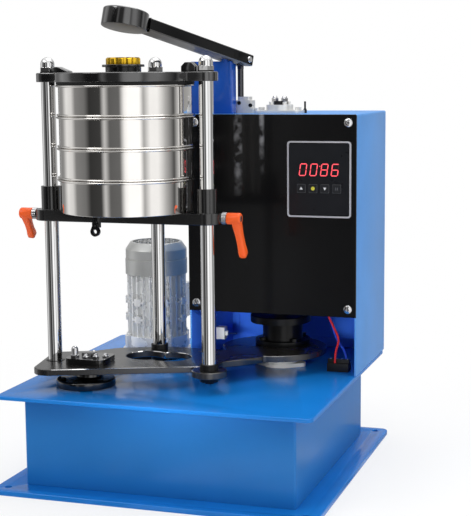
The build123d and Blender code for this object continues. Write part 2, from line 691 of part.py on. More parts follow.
UPPER_FOOT_LENGTH = 76
UPPER_FOOT_WIDTH = 44
UPPER_FOOT_THICK = 5
UPPER_BOSS_R = 22
UPPER_BOSS_HEIGHT = 14
UPPER_BOLT_REACH = 31
UPPER_BOLT_R = 5.5
UPPER_CAP_BOLT_R = 3.5
UPPER_CAP_BOLT_REACH = 16.5
UPPER_BOLT_HEIGHT = 5
upper_bolt_spots = [(DRIVE_X - UPPER_BOLT_REACH, DRIVE_Y), (DRIVE_X + UPPER_BOLT_REACH, DRIVE_Y)]
with BuildPart() as upper_bearing:
    with BuildSketch(Plane.XY.offset(roof_z)):
        with Locations((DRIVE_X, DRIVE_Y)):
            RectangleRounded(UPPER_FOOT_LENGTH, UPPER_FOOT_WIDTH, 8)
            Circle(SHAFT_R + RUNNING, mode=Mode.SUBTRACT)
    extrude(amount=UPPER_FOOT_THICK)
    with BuildSketch(Plane.XY.offset(roof_z + UPPER_FOOT_THICK)):
        with Locations((DRIVE_X, DRIVE_Y)):
            Circle(UPPER_BOSS_R)
            Circle(SHAFT_R + RUNNING, mode=Mode.SUBTRACT)
    extrude(amount=UPPER_BOSS_HEIGHT - UPPER_FOOT_THICK)
    with BuildSketch(Plane.XY.offset(roof_z + UPPER_FOOT_THICK)):
        with Locations(*upper_bolt_spots):
            RegularPolygon(UPPER_BOLT_R, 6)
    extrude(amount=UPPER_BOLT_HEIGHT)
    with BuildSketch(Plane.XY.offset(roof_z + UPPER_BOSS_HEIGHT)):
        with Locations((DRIVE_X, DRIVE_Y)):
            with PolarLocations(UPPER_CAP_BOLT_REACH, 4, start_angle=45):
                RegularPolygon(UPPER_CAP_BOLT_R, 6)
    extrude(amount=UPPER_BOLT_HEIGHT)
write("upper_bearing", upper_bearing.part)

# Main shaft with its eccentric journal, lower hub, pulley and counterweight

SHAFT_STUB = 20
shaft_top = roof_z + SHAFT_STUB
shaft_foot = BASE_THICK + END_PLAY
journal_z = deck_top + BEARING_CAP_HEIGHT + 2 * END_PLAY
hub_top = plate_top + HUB_HEIGHT
LOWER_HUB_R = 28
COLLAR_R = 11.5
COLLAR_HEIGHT = 20
with BuildPart() as main_shaft:
    with BuildSketch(Plane.XY.offset(shaft_foot)):
        with Locations((DRIVE_X, DRIVE_Y)):
            Circle(SHAFT_R)
    extrude(amount=shaft_top - shaft_foot)
    with BuildSketch(Plane.XY.offset(journal_z)):
        with Locations((DRIVE_X, DRIVE_Y)):
            Circle(LOWER_HUB_R)
    extrude(amount=plate_z - END_PLAY - journal_z)
    with BuildSketch(Plane.XY.offset(plate_z - END_PLAY)):
        with Locations((pin_x, pin_y)):
            Circle(JOURNAL_R)
    extrude(amount=hub_top - 2 - plate_z + END_PLAY)
    with BuildSketch(Plane.XY.offset(hub_top - 2)):
        with Locations((DRIVE_X, DRIVE_Y)):
            Circle(COLLAR_R)
    extrude(amount=COLLAR_HEIGHT)
write("main_shaft", main_shaft.part)

SPIGOT_DROP = 10
BEARING_EAR_REACH = 34
BEARING_EAR_R = 9
BEARING_FLANGE_THICK = 6
FOOT_BEARING_R = 34
FOOT_BEARING_FLANGE = 8
FOOT_BOSS_R = 22
FOOT_BOSS_HEIGHT = 14
with BuildPart() as main_bearings:
    with BuildSketch(Plane.XY.offset(deck_under - SPIGOT_DROP)):
        with Locations((DRIVE_X, DRIVE_Y)):
            Circle(CRANK_BOSS_R)
    extrude(amount=DECK_THICK + SPIGOT_DROP)
    with BuildSketch(Plane.XY.offset(deck_top)):
        with Locations((DRIVE_X, DRIVE_Y)):
            Circle(BEARING_CAP_R)
            with GridLocations(2 * BEARING_EAR_REACH, 1, 2, 1):
                Circle(BEARING_EAR_R)
        make_hull()
    extrude(amount=BEARING_FLANGE_THICK)
    with BuildSketch(Plane.XY.offset(deck_top + BEARING_FLANGE_THICK)):
        with Locations((DRIVE_X, DRIVE_Y)):
            Circle(BEARING_CAP_R - 1)
    extrude(amount=BEARING_CAP_HEIGHT - BEARING_FLANGE_THICK, taper=20)
    with BuildSketch(Plane.XY.offset(deck_under - SPIGOT_DROP)):
        with Locations((DRIVE_X, DRIVE_Y)):
            Circle(SHAFT_R + RUNNING)
    extrude(amount=DECK_THICK + SPIGOT_DROP + BEARING_CAP_HEIGHT, mode=Mode.SUBTRACT)
    with BuildSketch(Plane.XY.offset(BASE_THICK)):
        with Locations((DRIVE_X, DRIVE_Y)):
            Circle(FOOT_BEARING_R)
            Circle(SHAFT_R + RUNNING, mode=Mode.SUBTRACT)
    extrude(amount=FOOT_BEARING_FLANGE)
    with BuildSketch(Plane.XY.offset(BASE_THICK + FOOT_BEARING_FLANGE)):
        with Locations((DRIVE_X, DRIVE_Y)):
            Circle(FOOT_BOSS_R)
            Circle(SHAFT_R + RUNNING, mode=Mode.SUBTRACT)
    extrude(amount=FOOT_BOSS_HEIGHT)
write("main_bearings", main_bearings.part)

WEIGHT_SECTOR_R = 70
WEIGHT_SECTOR_THICK = 16
WEIGHT_HUB_R = 22
SECTOR_LIFT = 40
sector_z = BASE_THICK + SECTOR_LIFT
with BuildPart() as counterweight:
    with BuildSketch(Plane.XY.offset(sector_z)):
        with Locations((DRIVE_X, DRIVE_Y)):
            Circle(WEIGHT_SECTOR_R)
        with Locations((DRIVE_X, DRIVE_Y + WEIGHT_SECTOR_R)):
            Rectangle(2 * WEIGHT_SECTOR_R, 2 * WEIGHT_SECTOR_R, mode=Mode.SUBTRACT)
        with Locations((DRIVE_X, DRIVE_Y)):
            Circle(WEIGHT_HUB_R)
            Circle(SHAFT_R, mode=Mode.SUBTRACT)
    extrude(amount=WEIGHT_SECTOR_THICK)
write("counterweight", counterweight.part)

# Belt drive inside the base


def pulley_profile(x, z, radius, bore):
    """Half section of a flanged pulley whose axis is at x and whose belt runs at z."""
    lip = radius + BELT_THICK + PULLEY_LIP
    half = BELT_WIDTH / 2 + GAP
    outer = half + LIP_THICK
    section = [
        (bore, -outer),
        (lip, -outer),
        (lip, -half),
        (radius, -half),
        (radius, half),
        (lip, half),
        (lip, outer),
        (bore, outer),
    ]
    return [(x + reach, z + rise) for reach, rise in section]


MOTOR_SHAFT_R = 7
with BuildPart() as drive_pulley:
    with BuildSketch(Plane.XZ.offset(-DRIVE_Y)):
        Polygon(*pulley_profile(DRIVE_X, BELT_HEIGHT, DRIVE_PULLEY_R, SHAFT_R), align=None)
    revolve(axis=Axis((DRIVE_X, DRIVE_Y, 0), (0, 0, 1)))
    with BuildSketch(Plane.XY.offset(BELT_HEIGHT - BELT_WIDTH)):
        with Locations((DRIVE_X, DRIVE_Y)):
            with PolarLocations(LIGHTENING_CIRCLE, LIGHTENING_COUNT):
                Circle(LIGHTENING_R)
    extrude(amount=2 * BELT_WIDTH, mode=Mode.SUBTRACT)
write("drive_pulley", drive_pulley.part)

with BuildPart() as drive_belt:
    with BuildSketch(Plane.XY.offset(BELT_HEIGHT - BELT_WIDTH / 2)):
        with Locations((DRIVE_X, DRIVE_Y)):
            Circle(DRIVE_PULLEY_R + GAP + BELT_THICK)
        with Locations((motor_x, motor_y)):
            Circle(MOTOR_PULLEY_R + GAP + BELT_THICK)
        make_hull()
    extrude(amount=BELT_WIDTH)
    with BuildSketch(Plane.XY.offset(BELT_HEIGHT - BELT_WIDTH / 2)):
        with Locations((DRIVE_X, DRIVE_Y)):
            Circle(DRIVE_PULLEY_R + GAP)
        with Locations((motor_x, motor_y)):
            Circle(MOTOR_PULLEY_R + GAP)
        make_hull()
    extrude(amount=BELT_WIDTH, mode=Mode.SUBTRACT)
write("drive_belt", drive_belt.part)

# Left crank on its own bearing under the deck

CRANK_DISC_R = 46.5
CRANK_DISC_THICK = 12
CRANK_HUB_R = 21
CRANK_HUB_HEIGHT = 9
CRANK_PIN_R = 12
CRANK_FLANGE_HEIGHT = 17
CRANK_BEARING_DROP = 28
CRANK_TAIL = 4
CRANK_PIN_SHORT = 3
with BuildPart() as crank_bearing:
    with BuildSketch(Plane.XY.offset(deck_under - CRANK_BEARING_DROP)):
        with Locations((CRANK_X, CRANK_Y)):
            Circle(CRANK_BOSS_R)
            Circle(SHAFT_R + RUNNING, mode=Mode.SUBTRACT)
    extrude(amount=CRANK_BEARING_DROP + DECK_THICK)
write("crank_bearing", crank_bearing.part)

crank_disc_z = deck_top + 2 * END_PLAY
crank_tail_z = deck_under - CRANK_BEARING_DROP - CRANK_TAIL
crank_hub_z = crank_disc_z + CRANK_DISC_THICK
crank_pin_z = crank_hub_z + CRANK_HUB_HEIGHT
with BuildPart() as left_crank:
    with BuildSketch(Plane.XY.offset(crank_tail_z)):
        with Locations((CRANK_X, CRANK_Y)):
            Circle(SHAFT_R)
    extrude(amount=crank_disc_z - crank_tail_z)
    with BuildSketch(Plane.XY.offset(crank_disc_z)):
        with Locations((CRANK_X, CRANK_Y)):
            Circle(CRANK_DISC_R)
    extrude(amount=CRANK_DISC_THICK)
    chamfer(left_crank.edges().sort_by(Axis.Z)[-1], 2)
    with BuildSketch(Plane.XY.offset(crank_hub_z)):
        with Locations((crank_pin_x, crank_pin_y)):
            Circle(CRANK_HUB_R)
    extrude(amount=CRANK_HUB_HEIGHT)
    with BuildSketch(Plane.XY.offset(crank_pin_z)):
        with Locations((crank_pin_x, crank_pin_y)):
            Circle(CRANK_PIN_R)
    extrude(amount=plate_top + CRANK_FLANGE_HEIGHT - CRANK_PIN_SHORT - crank_pin_z)
write("left_crank", left_crank.part)

# Orbiting plate with its two bearing flanges

MAIN_LOBE_R = 86
MAIN_LOBE_BACK = (-5, -33)
WINDOW_R = 33
WINDOW_SHIFTS = ((-2, -52), (39, -52))
FRONT_BEND_R = 22
SIDE_BEND_R = 12
FOOT_LOBE = 13
REAR_LOBE = 7
HOLE_ROOM = 2
outline_steps = [
    ((crank_pin_x, crank_pin_y), (-34, -77)),
    (front_right, (0, 26)),
    (front_right, (2, 59)),
    ((pin_x, pin_y), (-26, -155)),
    ((pin_x, pin_y), (1, -125)),
    ((pin_x, pin_y), (1, -89)),
    (rear, (0, 22)),
    (rear, (-14, 14)),
    (rear, (-67, -9)),
    (rear, (-97, -42)),
    (front_left, (-42, 53)),
    (front_left, (-6, -69)),
]
plate_corners = [(spot[0] + step[0], spot[1] + step[1]) for spot, step in outline_steps]
plate_bends = {11: FRONT_BEND_R, 0: FRONT_BEND_R, 10: SIDE_BEND_R, 9: FRONT_BEND_R - 2, 8: FRONT_BEND_R - 2}
main_lobe = (pin_x + MAIN_LOBE_BACK[0], pin_y + MAIN_LOBE_BACK[1])
window_spots = [(rear[0] + step[0], rear[1] + step[1]) for step in WINDOW_SHIFTS]
with BuildPart() as moving_plate:
    with BuildSketch(Plane.XY.offset(plate_z)) as plate_sketch:
        Polygon(*plate_corners, align=None)
        for corner, bend in plate_bends.items():
            fillet(plate_sketch.vertices().sort_by_distance((*plate_corners[corner], plate_z))[0], bend)
        with Locations(front_right):
            Circle(FOOT_R + FOOT_LOBE)
        with Locations(rear):
            Circle(FOOT_R + REAR_LOBE)
        with Locations(main_lobe):
            Circle(MAIN_LOBE_R)
        with Locations(*window_spots):
            Circle(WINDOW_R, mode=Mode.SUBTRACT)
        with Locations(*pillar_spots.values()):
            Circle(FOOT_R, mode=Mode.SUBTRACT)
        with Locations((pin_x, pin_y)):
            Circle(JOURNAL_R + HOLE_ROOM, mode=Mode.SUBTRACT)
        with Locations((crank_pin_x, crank_pin_y)):
            Circle(CRANK_PIN_R + HOLE_ROOM, mode=Mode.SUBTRACT)
    extrude(amount=PLATE_THICK)
write("moving_plate", moving_plate.part)

FLANGE_THICK = 7
MAIN_FLANGE_R = 46
MAIN_BOLT_CIRCLE = 39
FLANGE_BOLT_R = 6
FLANGE_BOLT_HEIGHT = 5
with BuildPart() as main_flange:
    with BuildSketch(Plane.XY.offset(plate_top)):
        with Locations((pin_x, pin_y)):
            Circle(MAIN_FLANGE_R)
    extrude(amount=FLANGE_THICK)
    with BuildSketch(Plane.XY.offset(plate_top + FLANGE_THICK)):
        with Locations((pin_x, pin_y)):
            Circle(HUB_R)
    extrude(amount=HUB_HEIGHT - FLANGE_THICK)
    chamfer(main_flange.edges().sort_by(Axis.Z)[-1], 1.5)
    with BuildSketch(Plane.XY.offset(plate_top)):
        with Locations((pin_x, pin_y)):
            Circle(JOURNAL_R + RUNNING)
    extrude(amount=HUB_HEIGHT, mode=Mode.SUBTRACT)
    with BuildSketch(Plane.XY.offset(plate_top + FLANGE_THICK)):
        with Locations((pin_x, pin_y)):
            with PolarLocations(MAIN_BOLT_CIRCLE, 4, start_angle=45):
                RegularPolygon(FLANGE_BOLT_R, 6)
    extrude(amount=FLANGE_BOLT_HEIGHT)
write("main_flange", main_flange.part)

CRANK_FLANGE_WIDTH = 70
CRANK_FLANGE_DEPTH = 56
CRANK_FLANGE_BEND = 12
CRANK_RING_R = 25
CRANK_BOLT_PITCH_X = 56
CRANK_BOLT_PITCH_Y = 38
with BuildPart() as crank_flange:
    with BuildSketch(Plane.XY.offset(plate_top)):
        with Locations((crank_pin_x, crank_pin_y)):
            RectangleRounded(CRANK_FLANGE_WIDTH, CRANK_FLANGE_DEPTH, CRANK_FLANGE_BEND)
    extrude(amount=FLANGE_THICK)
    with BuildSketch(Plane.XY.offset(plate_top + FLANGE_THICK)):
        with Locations((crank_pin_x, crank_pin_y)):
            Circle(CRANK_RING_R)
    extrude(amount=CRANK_FLANGE_HEIGHT - FLANGE_THICK)
    chamfer(crank_flange.edges().sort_by(Axis.Z)[-1], 1.5)
    with BuildSketch(Plane.XY.offset(plate_top)):
        with Locations((crank_pin_x, crank_pin_y)):
            Circle(CRANK_PIN_R + RUNNING)
    extrude(amount=CRANK_FLANGE_HEIGHT, mode=Mode.SUBTRACT)
    with BuildSketch(Plane.XY.offset(plate_top + FLANGE_THICK)):
        with Locations((crank_pin_x, crank_pin_y)):
            with GridLocations(CRANK_BOLT_PITCH_X, CRANK_BOLT_PITCH_Y, 2, 2):
                RegularPolygon(FLANGE_BOLT_R, 6)
    extrude(amount=FLANGE_BOLT_HEIGHT)
write("crank_flange", crank_flange.part)

# Pillars, their feet and the domed nuts on the cover

NUT_BASE_Z = 3
NUT_BASE_LAP = 1
NUT_HEX_HEIGHT = 5
NUT_ACROSS = 22
NUT_BALL_R = 11
NUT_BALL_RISE = 8
STUD_ABOVE = 7
with BuildPart() as pillars:
    with BuildSketch(Plane.XY.offset(plate_z)):
        with Locations(*pillar_spots.values()):
            Circle(PILLAR_R)
    extrude(amount=cover_z - plate_z)
    with BuildSketch(Plane.XY.offset(cover_z)):
        with Locations(*pillar_spots.values()):
            Circle(STUD_R)
    extrude(amount=COVER_THICK + STUD_ABOVE)
write("pillars", pillars.part)

FOOT_BOLT_R = 8
FOOT_BOLT_HEIGHT = 3
with BuildPart() as pillar_feet:
    with BuildSketch(Plane.XY.offset(plate_z - FOOT_DROP)):
        with Locations(*pillar_spots.values()):
            Circle(FOOT_R)
    extrude(amount=FOOT_DROP + PLATE_THICK + FOOT_RISE)
    with BuildSketch(Plane.XY.offset(plate_z)):
        with Locations(*pillar_spots.values()):
            Circle(PILLAR_R)
    extrude(amount=PLATE_THICK + FOOT_RISE, mode=Mode.SUBTRACT)
    with BuildSketch(Plane.XY.offset(plate_z - FOOT_DROP - FOOT_BOLT_HEIGHT)):
        with Locations(*pillar_spots.values()):
            RegularPolygon(FOOT_BOLT_R, 6)
    extrude(amount=FOOT_BOLT_HEIGHT)
write("pillar_feet", pillar_feet.part)

nut_hex_r = NUT_ACROSS / sqrt(3)
hex_z = cover_top + NUT_BASE_Z
ball_z = hex_z + NUT_HEX_HEIGHT + NUT_BALL_RISE
with BuildPart() as pillar_nuts:
    with BuildSketch(Plane.XY.offset(cover_top)):
        with Locations(*pillar_spots.values()):
            Circle(nut_hex_r + NUT_BASE_LAP)
    extrude(amount=NUT_BASE_Z)
    with BuildSketch(Plane.XY.offset(hex_z)):
        with Locations(*pillar_spots.values()):
            RegularPolygon(nut_hex_r, 6)
    extrude(amount=NUT_HEX_HEIGHT)
    with Locations(*[(*pillar_spot, ball_z) for pillar_spot in pillar_spots.values()]):
        Sphere(NUT_BALL_R)
    with BuildSketch(Plane.XY.offset(cover_top)):
        with Locations(*pillar_spots.values()):
            Circle(STUD_R)
    extrude(amount=STUD_ABOVE, mode=Mode.SUBTRACT)
write("pillar_nuts", pillar_nuts.part)

# Sliding stage under the pan

STAGE_LOBE_R = 24
STAGE_REACH_FRONT = 25
STAGE_REACH_BACK = 22
REAR_NECK = 40
REAR_LOBE_R = 22
STUD_RISE = 9
STUD_COLLAR_R = 8.5
STUD_ROOT = 4
STUD_COLLAR = 7
LEVER_BORE_R = 6
LEVER_HUB_R = 9
LEVER_HUB = 22
LEVER_LENGTH = 60
LATCH_OFFSET = 41
LATCH_STRAP = 14
LATCH_STRAP_THICK = 3
LATCH_STRAP_DROP = 8
LATCH_PIN_DROP = 4
LATCH_PIN_LENGTH = 10
LATCH_RING_R = 7.5
LATCH_HOLE_R = 3.2
LATCH_PIN_R = 2
stage_front = SIEVE_Y - STAGE_REACH_FRONT
stage_back = SIEVE_Y + STAGE_REACH_BACK
stud_z = stage_z + STUD_RISE
latch_x = SIEVE_X - LATCH_OFFSET
latch_pin_z = stage_z - LATCH_PIN_DROP
stage_left = front_left[0] - STAGE_LOBE_R
stage_right = front_right[0] + STAGE_LOBE_R
with BuildPart() as support_stage:
    with BuildSketch(Plane.XY.offset(stage_z)):
        Polygon(
            (front_left[0], stage_front),
            (front_right[0], stage_front),
            (front_right[0], stage_back),
            (SIEVE_X + REAR_NECK, stage_back),
            (SIEVE_X + REAR_LOBE_R, rear[1]),
            (SIEVE_X - REAR_LOBE_R, rear[1]),
            (SIEVE_X - REAR_NECK, stage_back),
            (front_left[0], stage_back),
            align=None,
        )
        with Locations(front_left, front_right):
            Circle(STAGE_LOBE_R)
        with Locations(rear):
            Circle(REAR_LOBE_R)
    extrude(amount=STAGE_THICK)
    chamfer(support_stage.faces().sort_by(Axis.Z)[0].outer_wire().edges(), PLATE_EDGE)
    with BuildSketch(Plane.XY.offset(stage_top)):
        with Locations(*pillar_spots.values()):
            Circle(SLEEVE_R)
    extrude(amount=SLEEVE_HEIGHT)
    with BuildSketch(Plane.XY.offset(stage_z)):
        with Locations(*pillar_spots.values()):
            Circle(PILLAR_R + RUNNING)
    extrude(amount=STAGE_THICK + SLEEVE_HEIGHT, mode=Mode.SUBTRACT)
    with BuildSketch(Plane.YZ.offset(stage_left - STUD_COLLAR)):
        with Locations((SIEVE_Y, stud_z)):
            Circle(STUD_COLLAR_R)
    extrude(amount=STUD_COLLAR + STUD_ROOT)
    with BuildSketch(Plane.YZ.offset(stage_right - STUD_ROOT)):
        with Locations((SIEVE_Y, stud_z)):
            Circle(STUD_COLLAR_R)
    extrude(amount=STUD_COLLAR + STUD_ROOT)
    with BuildSketch(Plane.YZ.offset(stage_left - STUD_COLLAR - LEVER_HUB)):
        with Locations((SIEVE_Y, stud_z)):
            Circle(LEVER_BORE_R)
    extrude(amount=LEVER_HUB)
    with BuildSketch(Plane.YZ.offset(stage_right + STUD_COLLAR)):
        with Locations((SIEVE_Y, stud_z)):
            Circle(LEVER_BORE_R)
    extrude(amount=LEVER_HUB)
    with BuildSketch(Plane.XZ.offset(-stage_front)):
        with Locations((latch_x, stage_z + (STAGE_THICK - LATCH_STRAP_DROP) / 2)):
            Rectangle(LATCH_STRAP, STAGE_THICK + LATCH_STRAP_DROP - 2 * PLATE_EDGE)
    extrude(amount=LATCH_STRAP_THICK)
    with BuildSketch(Plane.XZ.offset(-stage_front)):
        with Locations((latch_x, latch_pin_z)):
            Circle(LATCH_PIN_R)
    extrude(amount=LATCH_PIN_LENGTH)
write("support_stage", support_stage.part)

LEVER_TIP_R = 6
LEVER_ROOT_R = 7.5
LEVER_THICK = 10
LEVER_SPLAY = 6
LEVER_EDGE = 2.5
LEVER_END_CAP = 2


def build_lever(name, face_x, side, swing):
    """Write one locking lever: hub from face_x outwards, handle hanging with the given swing."""
    reach_y = LEVER_LENGTH * sin(radians(swing))
    reach_z = -LEVER_LENGTH * cos(radians(swing))
    hub_plane = Plane(origin=(face_x, SIEVE_Y, stud_z), x_dir=(0, 1, 0), z_dir=(side, 0, 0))
    down = Vector(side * LEVER_SPLAY, reach_y, reach_z).normalized()
    across = Vector(side, 0, 0).cross(down).normalized()
    handle_plane = Plane(
        origin=(face_x + side * (LEVER_HUB - LEVER_THICK - LEVER_END_CAP), SIEVE_Y, stud_z),
        x_dir=down,
        z_dir=down.cross(across),
    )
    with BuildPart() as lever:
        with BuildSketch(handle_plane):
            Circle(LEVER_ROOT_R)
            with Locations((LEVER_LENGTH - LEVER_TIP_R, 0)):
                Circle(LEVER_TIP_R)
            make_hull()
        extrude(amount=LEVER_THICK if handle_plane.z_dir.X * side > 0 else -LEVER_THICK)
        chamfer(lever.edges(), LEVER_EDGE)
        with BuildSketch(hub_plane.offset(GAP)):
            Circle(LEVER_HUB_R)
        extrude(amount=LEVER_HUB)
        with BuildSketch(hub_plane.offset(-1)):
            Circle(LEVER_BORE_R + RUNNING)
        extrude(amount=LEVER_HUB + 1.5, mode=Mode.SUBTRACT)
    write(name, lever.part)


build_lever("lever_left", stage_left - STUD_COLLAR, -1, 52)
build_lever("lever_right", stage_right + STUD_COLLAR, 1, 25)

# Latch eye hanging under the stage's front edge

LATCH_RING_DROP = 9
LATCH_RING_THICK = 5
LATCH_EYE_WALL = 2
with BuildPart() as latch_ring:
    with BuildSketch(Plane.XZ.offset(-stage_front + LATCH_STRAP_THICK + END_PLAY)):
        with Locations((latch_x, latch_pin_z)):
            Circle(LATCH_PIN_R + LATCH_EYE_WALL)
        with Locations((latch_x, latch_pin_z - LATCH_RING_DROP)):
            Circle(LATCH_RING_R)
        make_hull()
        with Locations((latch_x, latch_pin_z)):
            Circle(LATCH_PIN_R + RUNNING, mode=Mode.SUBTRACT)
        with Locations((latch_x, latch_pin_z - LATCH_RING_DROP)):
            Circle(LATCH_HOLE_R, mode=Mode.SUBTRACT)
    extrude(amount=LATCH_RING_THICK)
write("latch_ring", latch_ring.part)

# Pan, sieves, meshes, seal and cover


def bead(foot, height, reach):
    """Half section of a chamfered bead that stands out from the wall between two heights."""
    slope = height / 4
    return [
        (SIEVE_R, foot),
        (SIEVE_R + reach, foot + slope),
        (SIEVE_R + reach, foot + height - slope),
        (SIEVE_R, foot + height),
    ]


def nest_profile(height, floor):
    """Half section of a nesting ring: wall, rolled bead at the top, lip and spigot below."""
    inner = SIEVE_R - SIEVE_WALL
    spigot = inner - SIEVE_WALL - GAP
    top = [*bead(height - RIM_HEIGHT, RIM_HEIGHT, RIM_R - SIEVE_R), (inner, height)]
    if floor:
        return [(0, 0), (SIEVE_R, 0), *top, (inner, PAN_FLOOR), (0, PAN_FLOOR)]
    lip = bead(0, LIP_HEIGHT, LIP_REACH)
    return [
        (spigot - SIEVE_WALL, -NEST_DEPTH),
        (spigot, -NEST_DEPTH),
        (spigot, 0),
        *lip,
        *top,
        (inner, RIM_HEIGHT),
        (spigot - SIEVE_WALL, 0),
    ]


with BuildPart() as receiver_pan:
    with BuildSketch(Plane.XZ):
        Polygon(*nest_profile(PAN_HEIGHT, True), align=None)
    revolve(axis=Axis.Z)
write("receiver_pan", receiver_pan.part.moved(Location((SIEVE_X, SIEVE_Y, stage_top))))

MESH_R = SIEVE_R - SIEVE_WALL
for level in range(SIEVE_COUNT):
    sieve_z = stage_top + PAN_HEIGHT + level * SIEVE_PITCH
    with BuildPart() as sieve:
        with BuildSketch(Plane.XZ):
            Polygon(*nest_profile(SIEVE_PITCH, False), align=None)
        revolve(axis=Axis.Z)
    write(f"sieve_{level + 1}", sieve.part.moved(Location((SIEVE_X, SIEVE_Y, sieve_z))))

with BuildPart() as sieve_meshes:
    for level in range(SIEVE_COUNT):
        with BuildSketch(Plane.XY.offset(stage_top + PAN_HEIGHT + level * SIEVE_PITCH + RIM_HEIGHT)):
            with Locations((SIEVE_X, SIEVE_Y)):
                Circle(MESH_R)
        extrude(amount=MESH_THICK)
write("sieve_meshes", sieve_meshes.part)

SEAL_R = SIEVE_R + 3
SEAL_WIDTH = 10
with BuildPart() as cover_seal:
    with BuildSketch(Plane.XY.offset(stack_top)):
        with Locations((SIEVE_X, SIEVE_Y)):
            Circle(SEAL_R)
            Circle(SEAL_R - SEAL_WIDTH, mode=Mode.SUBTRACT)
    extrude(amount=SEAL_THICK)
write("cover_seal", cover_seal.part)

COVER_EAR_R = 18
COLLAR_BASE_R = 27
COLLAR_RIM_R = 32
PLUG_R = 26
PLUG_EDGE = 2
FLUTE_COUNT = 12
FLUTE_R = 5
FLUTE_DEPTH = 2
with BuildPart() as top_cover:
    with BuildSketch(Plane.XY.offset(cover_z)):
        with Locations((SIEVE_X, SIEVE_Y)):
            Circle(COVER_R)
            Rectangle(2 * PILLAR_REACH, 2 * COVER_EAR_R)
        with Locations((SIEVE_X, (SIEVE_Y + rear[1]) / 2)):
            Rectangle(2 * COVER_EAR_R, REAR_REACH)
        with Locations(*pillar_spots.values()):
            Circle(COVER_EAR_R)
            Circle(STUD_R, mode=Mode.SUBTRACT)
    extrude(amount=COVER_THICK)
    chamfer(top_cover.faces().sort_by(Axis.Z)[-1].outer_wire().edges(), PLATE_EDGE)
write("top_cover", top_cover.part)

with BuildPart() as plug_collar:
    with BuildSketch(Plane.XY.offset(cover_top)):
        with Locations((TAP_X, TAP_Y)):
            Circle(COLLAR_BASE_R)
    extrude(amount=COLLAR_BASE_HEIGHT)
    with BuildSketch(Plane.XY.offset(cover_top + COLLAR_BASE_HEIGHT)):
        with Locations((TAP_X, TAP_Y)):
            Circle(COLLAR_RIM_R)
    extrude(amount=COLLAR_RIM_HEIGHT)
write("plug_collar", plug_collar.part)

with BuildPart() as tapping_plug:
    with BuildSketch(Plane.XY.offset(plug_z)):
        with Locations((TAP_X, TAP_Y)):
            Circle(PLUG_R)
    extrude(amount=PLUG_HEIGHT)
    chamfer(tapping_plug.edges().sort_by(Axis.Z)[-1], PLUG_EDGE)
    with BuildSketch(Plane.XY.offset(plug_z)):
        with Locations((TAP_X, TAP_Y)):
            with PolarLocations(PLUG_R + FLUTE_R - FLUTE_DEPTH, FLUTE_COUNT):
                Circle(FLUTE_R)
    extrude(amount=PLUG_HEIGHT, mode=Mode.SUBTRACT)
write("tapping_plug", tapping_plug.part)

CLAMP_WIDTH = 18
WEDGE_LENGTH = 24
WEDGE_HEIGHT = 9
WEDGE_TOE = 2
KNOB_LENGTH = 22
KNOB_HEIGHT = 14
KNOB_SLOPE = 6
clamp_inset = nut_hex_r + NUT_BASE_LAP + GAP
wedge_x = front_left[0] + clamp_inset
knob_x = front_right[0] - clamp_inset
with BuildPart() as cover_clamps:
    with BuildSketch(Plane.XZ.offset(-SIEVE_Y + CLAMP_WIDTH / 2)):
        Polygon(
            (wedge_x, cover_top),
            (wedge_x + WEDGE_LENGTH, cover_top),
            (wedge_x + WEDGE_LENGTH, cover_top + WEDGE_TOE),
            (wedge_x + WEDGE_LENGTH / 4, cover_top + WEDGE_HEIGHT),
            (wedge_x, cover_top + WEDGE_HEIGHT),
            align=None,
        )
        Polygon(
            (knob_x, cover_top),
            (knob_x - KNOB_LENGTH, cover_top),
            (knob_x - KNOB_LENGTH, cover_top + KNOB_HEIGHT - KNOB_SLOPE),
            (knob_x - KNOB_LENGTH + KNOB_SLOPE, cover_top + KNOB_HEIGHT),
            (knob_x - KNOB_SLOPE, cover_top + KNOB_HEIGHT),
            (knob_x, cover_top + KNOB_HEIGHT - KNOB_SLOPE),
            align=None,
        )
    extrude(amount=-CLAMP_WIDTH)
write("cover_clamps", cover_clamps.part)

# Motor: body with fins, rotor with fan, fan cover

MOTOR_FLANGE_THICK = 12
SHIELD_R = 54
SHIELD_HEIGHT = 26
SHIELD_LUG_R = 7
LUG_COUNT = 4
STATOR_R = 42
STATOR_LIFT = 144
FIN_R = 50
FIN_COUNT = 26
FIN_THICK = 2.6
BOX_WIDTH = 70
BOX_DEPTH = 60
BOX_LIFT = 20
BOX_TALL = 60
BOX_BEND = 6
stator_top = deck_top + STATOR_LIFT
shield_z = deck_top + MOTOR_FLANGE_THICK
stator_z = shield_z + SHIELD_HEIGHT
with BuildPart() as motor_body:
    with BuildSketch(Plane.XY.offset(deck_under)):
        with Locations((motor_x, motor_y)):
            Circle(MOTOR_SPIGOT_R)
    extrude(amount=DECK_THICK)
    with BuildSketch(Plane.XY.offset(deck_top)):
        with Locations((motor_x, motor_y)):
            Circle(MOTOR_FLANGE_R)
    extrude(amount=MOTOR_FLANGE_THICK)
    with BuildSketch(Plane.XY.offset(shield_z)):
        with Locations((motor_x, motor_y)):
            Circle(SHIELD_R)
            with PolarLocations(SHIELD_R - 1, LUG_COUNT, start_angle=45):
                Circle(SHIELD_LUG_R)
    extrude(amount=SHIELD_HEIGHT)
    with BuildSketch(Plane.XY.offset(stator_z)):
        with Locations((motor_x, motor_y)):
            Circle(STATOR_R)
            with PolarLocations((STATOR_R + FIN_R) / 2, FIN_COUNT):
                Rectangle(FIN_R - STATOR_R + 2, FIN_THICK)
    extrude(amount=stator_top - stator_z)
    with BuildSketch(Plane.XY.offset(stator_z + BOX_LIFT)):
        with Locations((motor_x, motor_y + FIN_R)):
            RectangleRounded(BOX_WIDTH, BOX_DEPTH, BOX_BEND)
    extrude(amount=BOX_TALL)
    with BuildSketch(Plane.XY.offset(deck_under)):
        with Locations((motor_x, motor_y)):
            Circle(MOTOR_SHAFT_R + RUNNING)
    extrude(amount=stator_top - deck_under, mode=Mode.SUBTRACT)
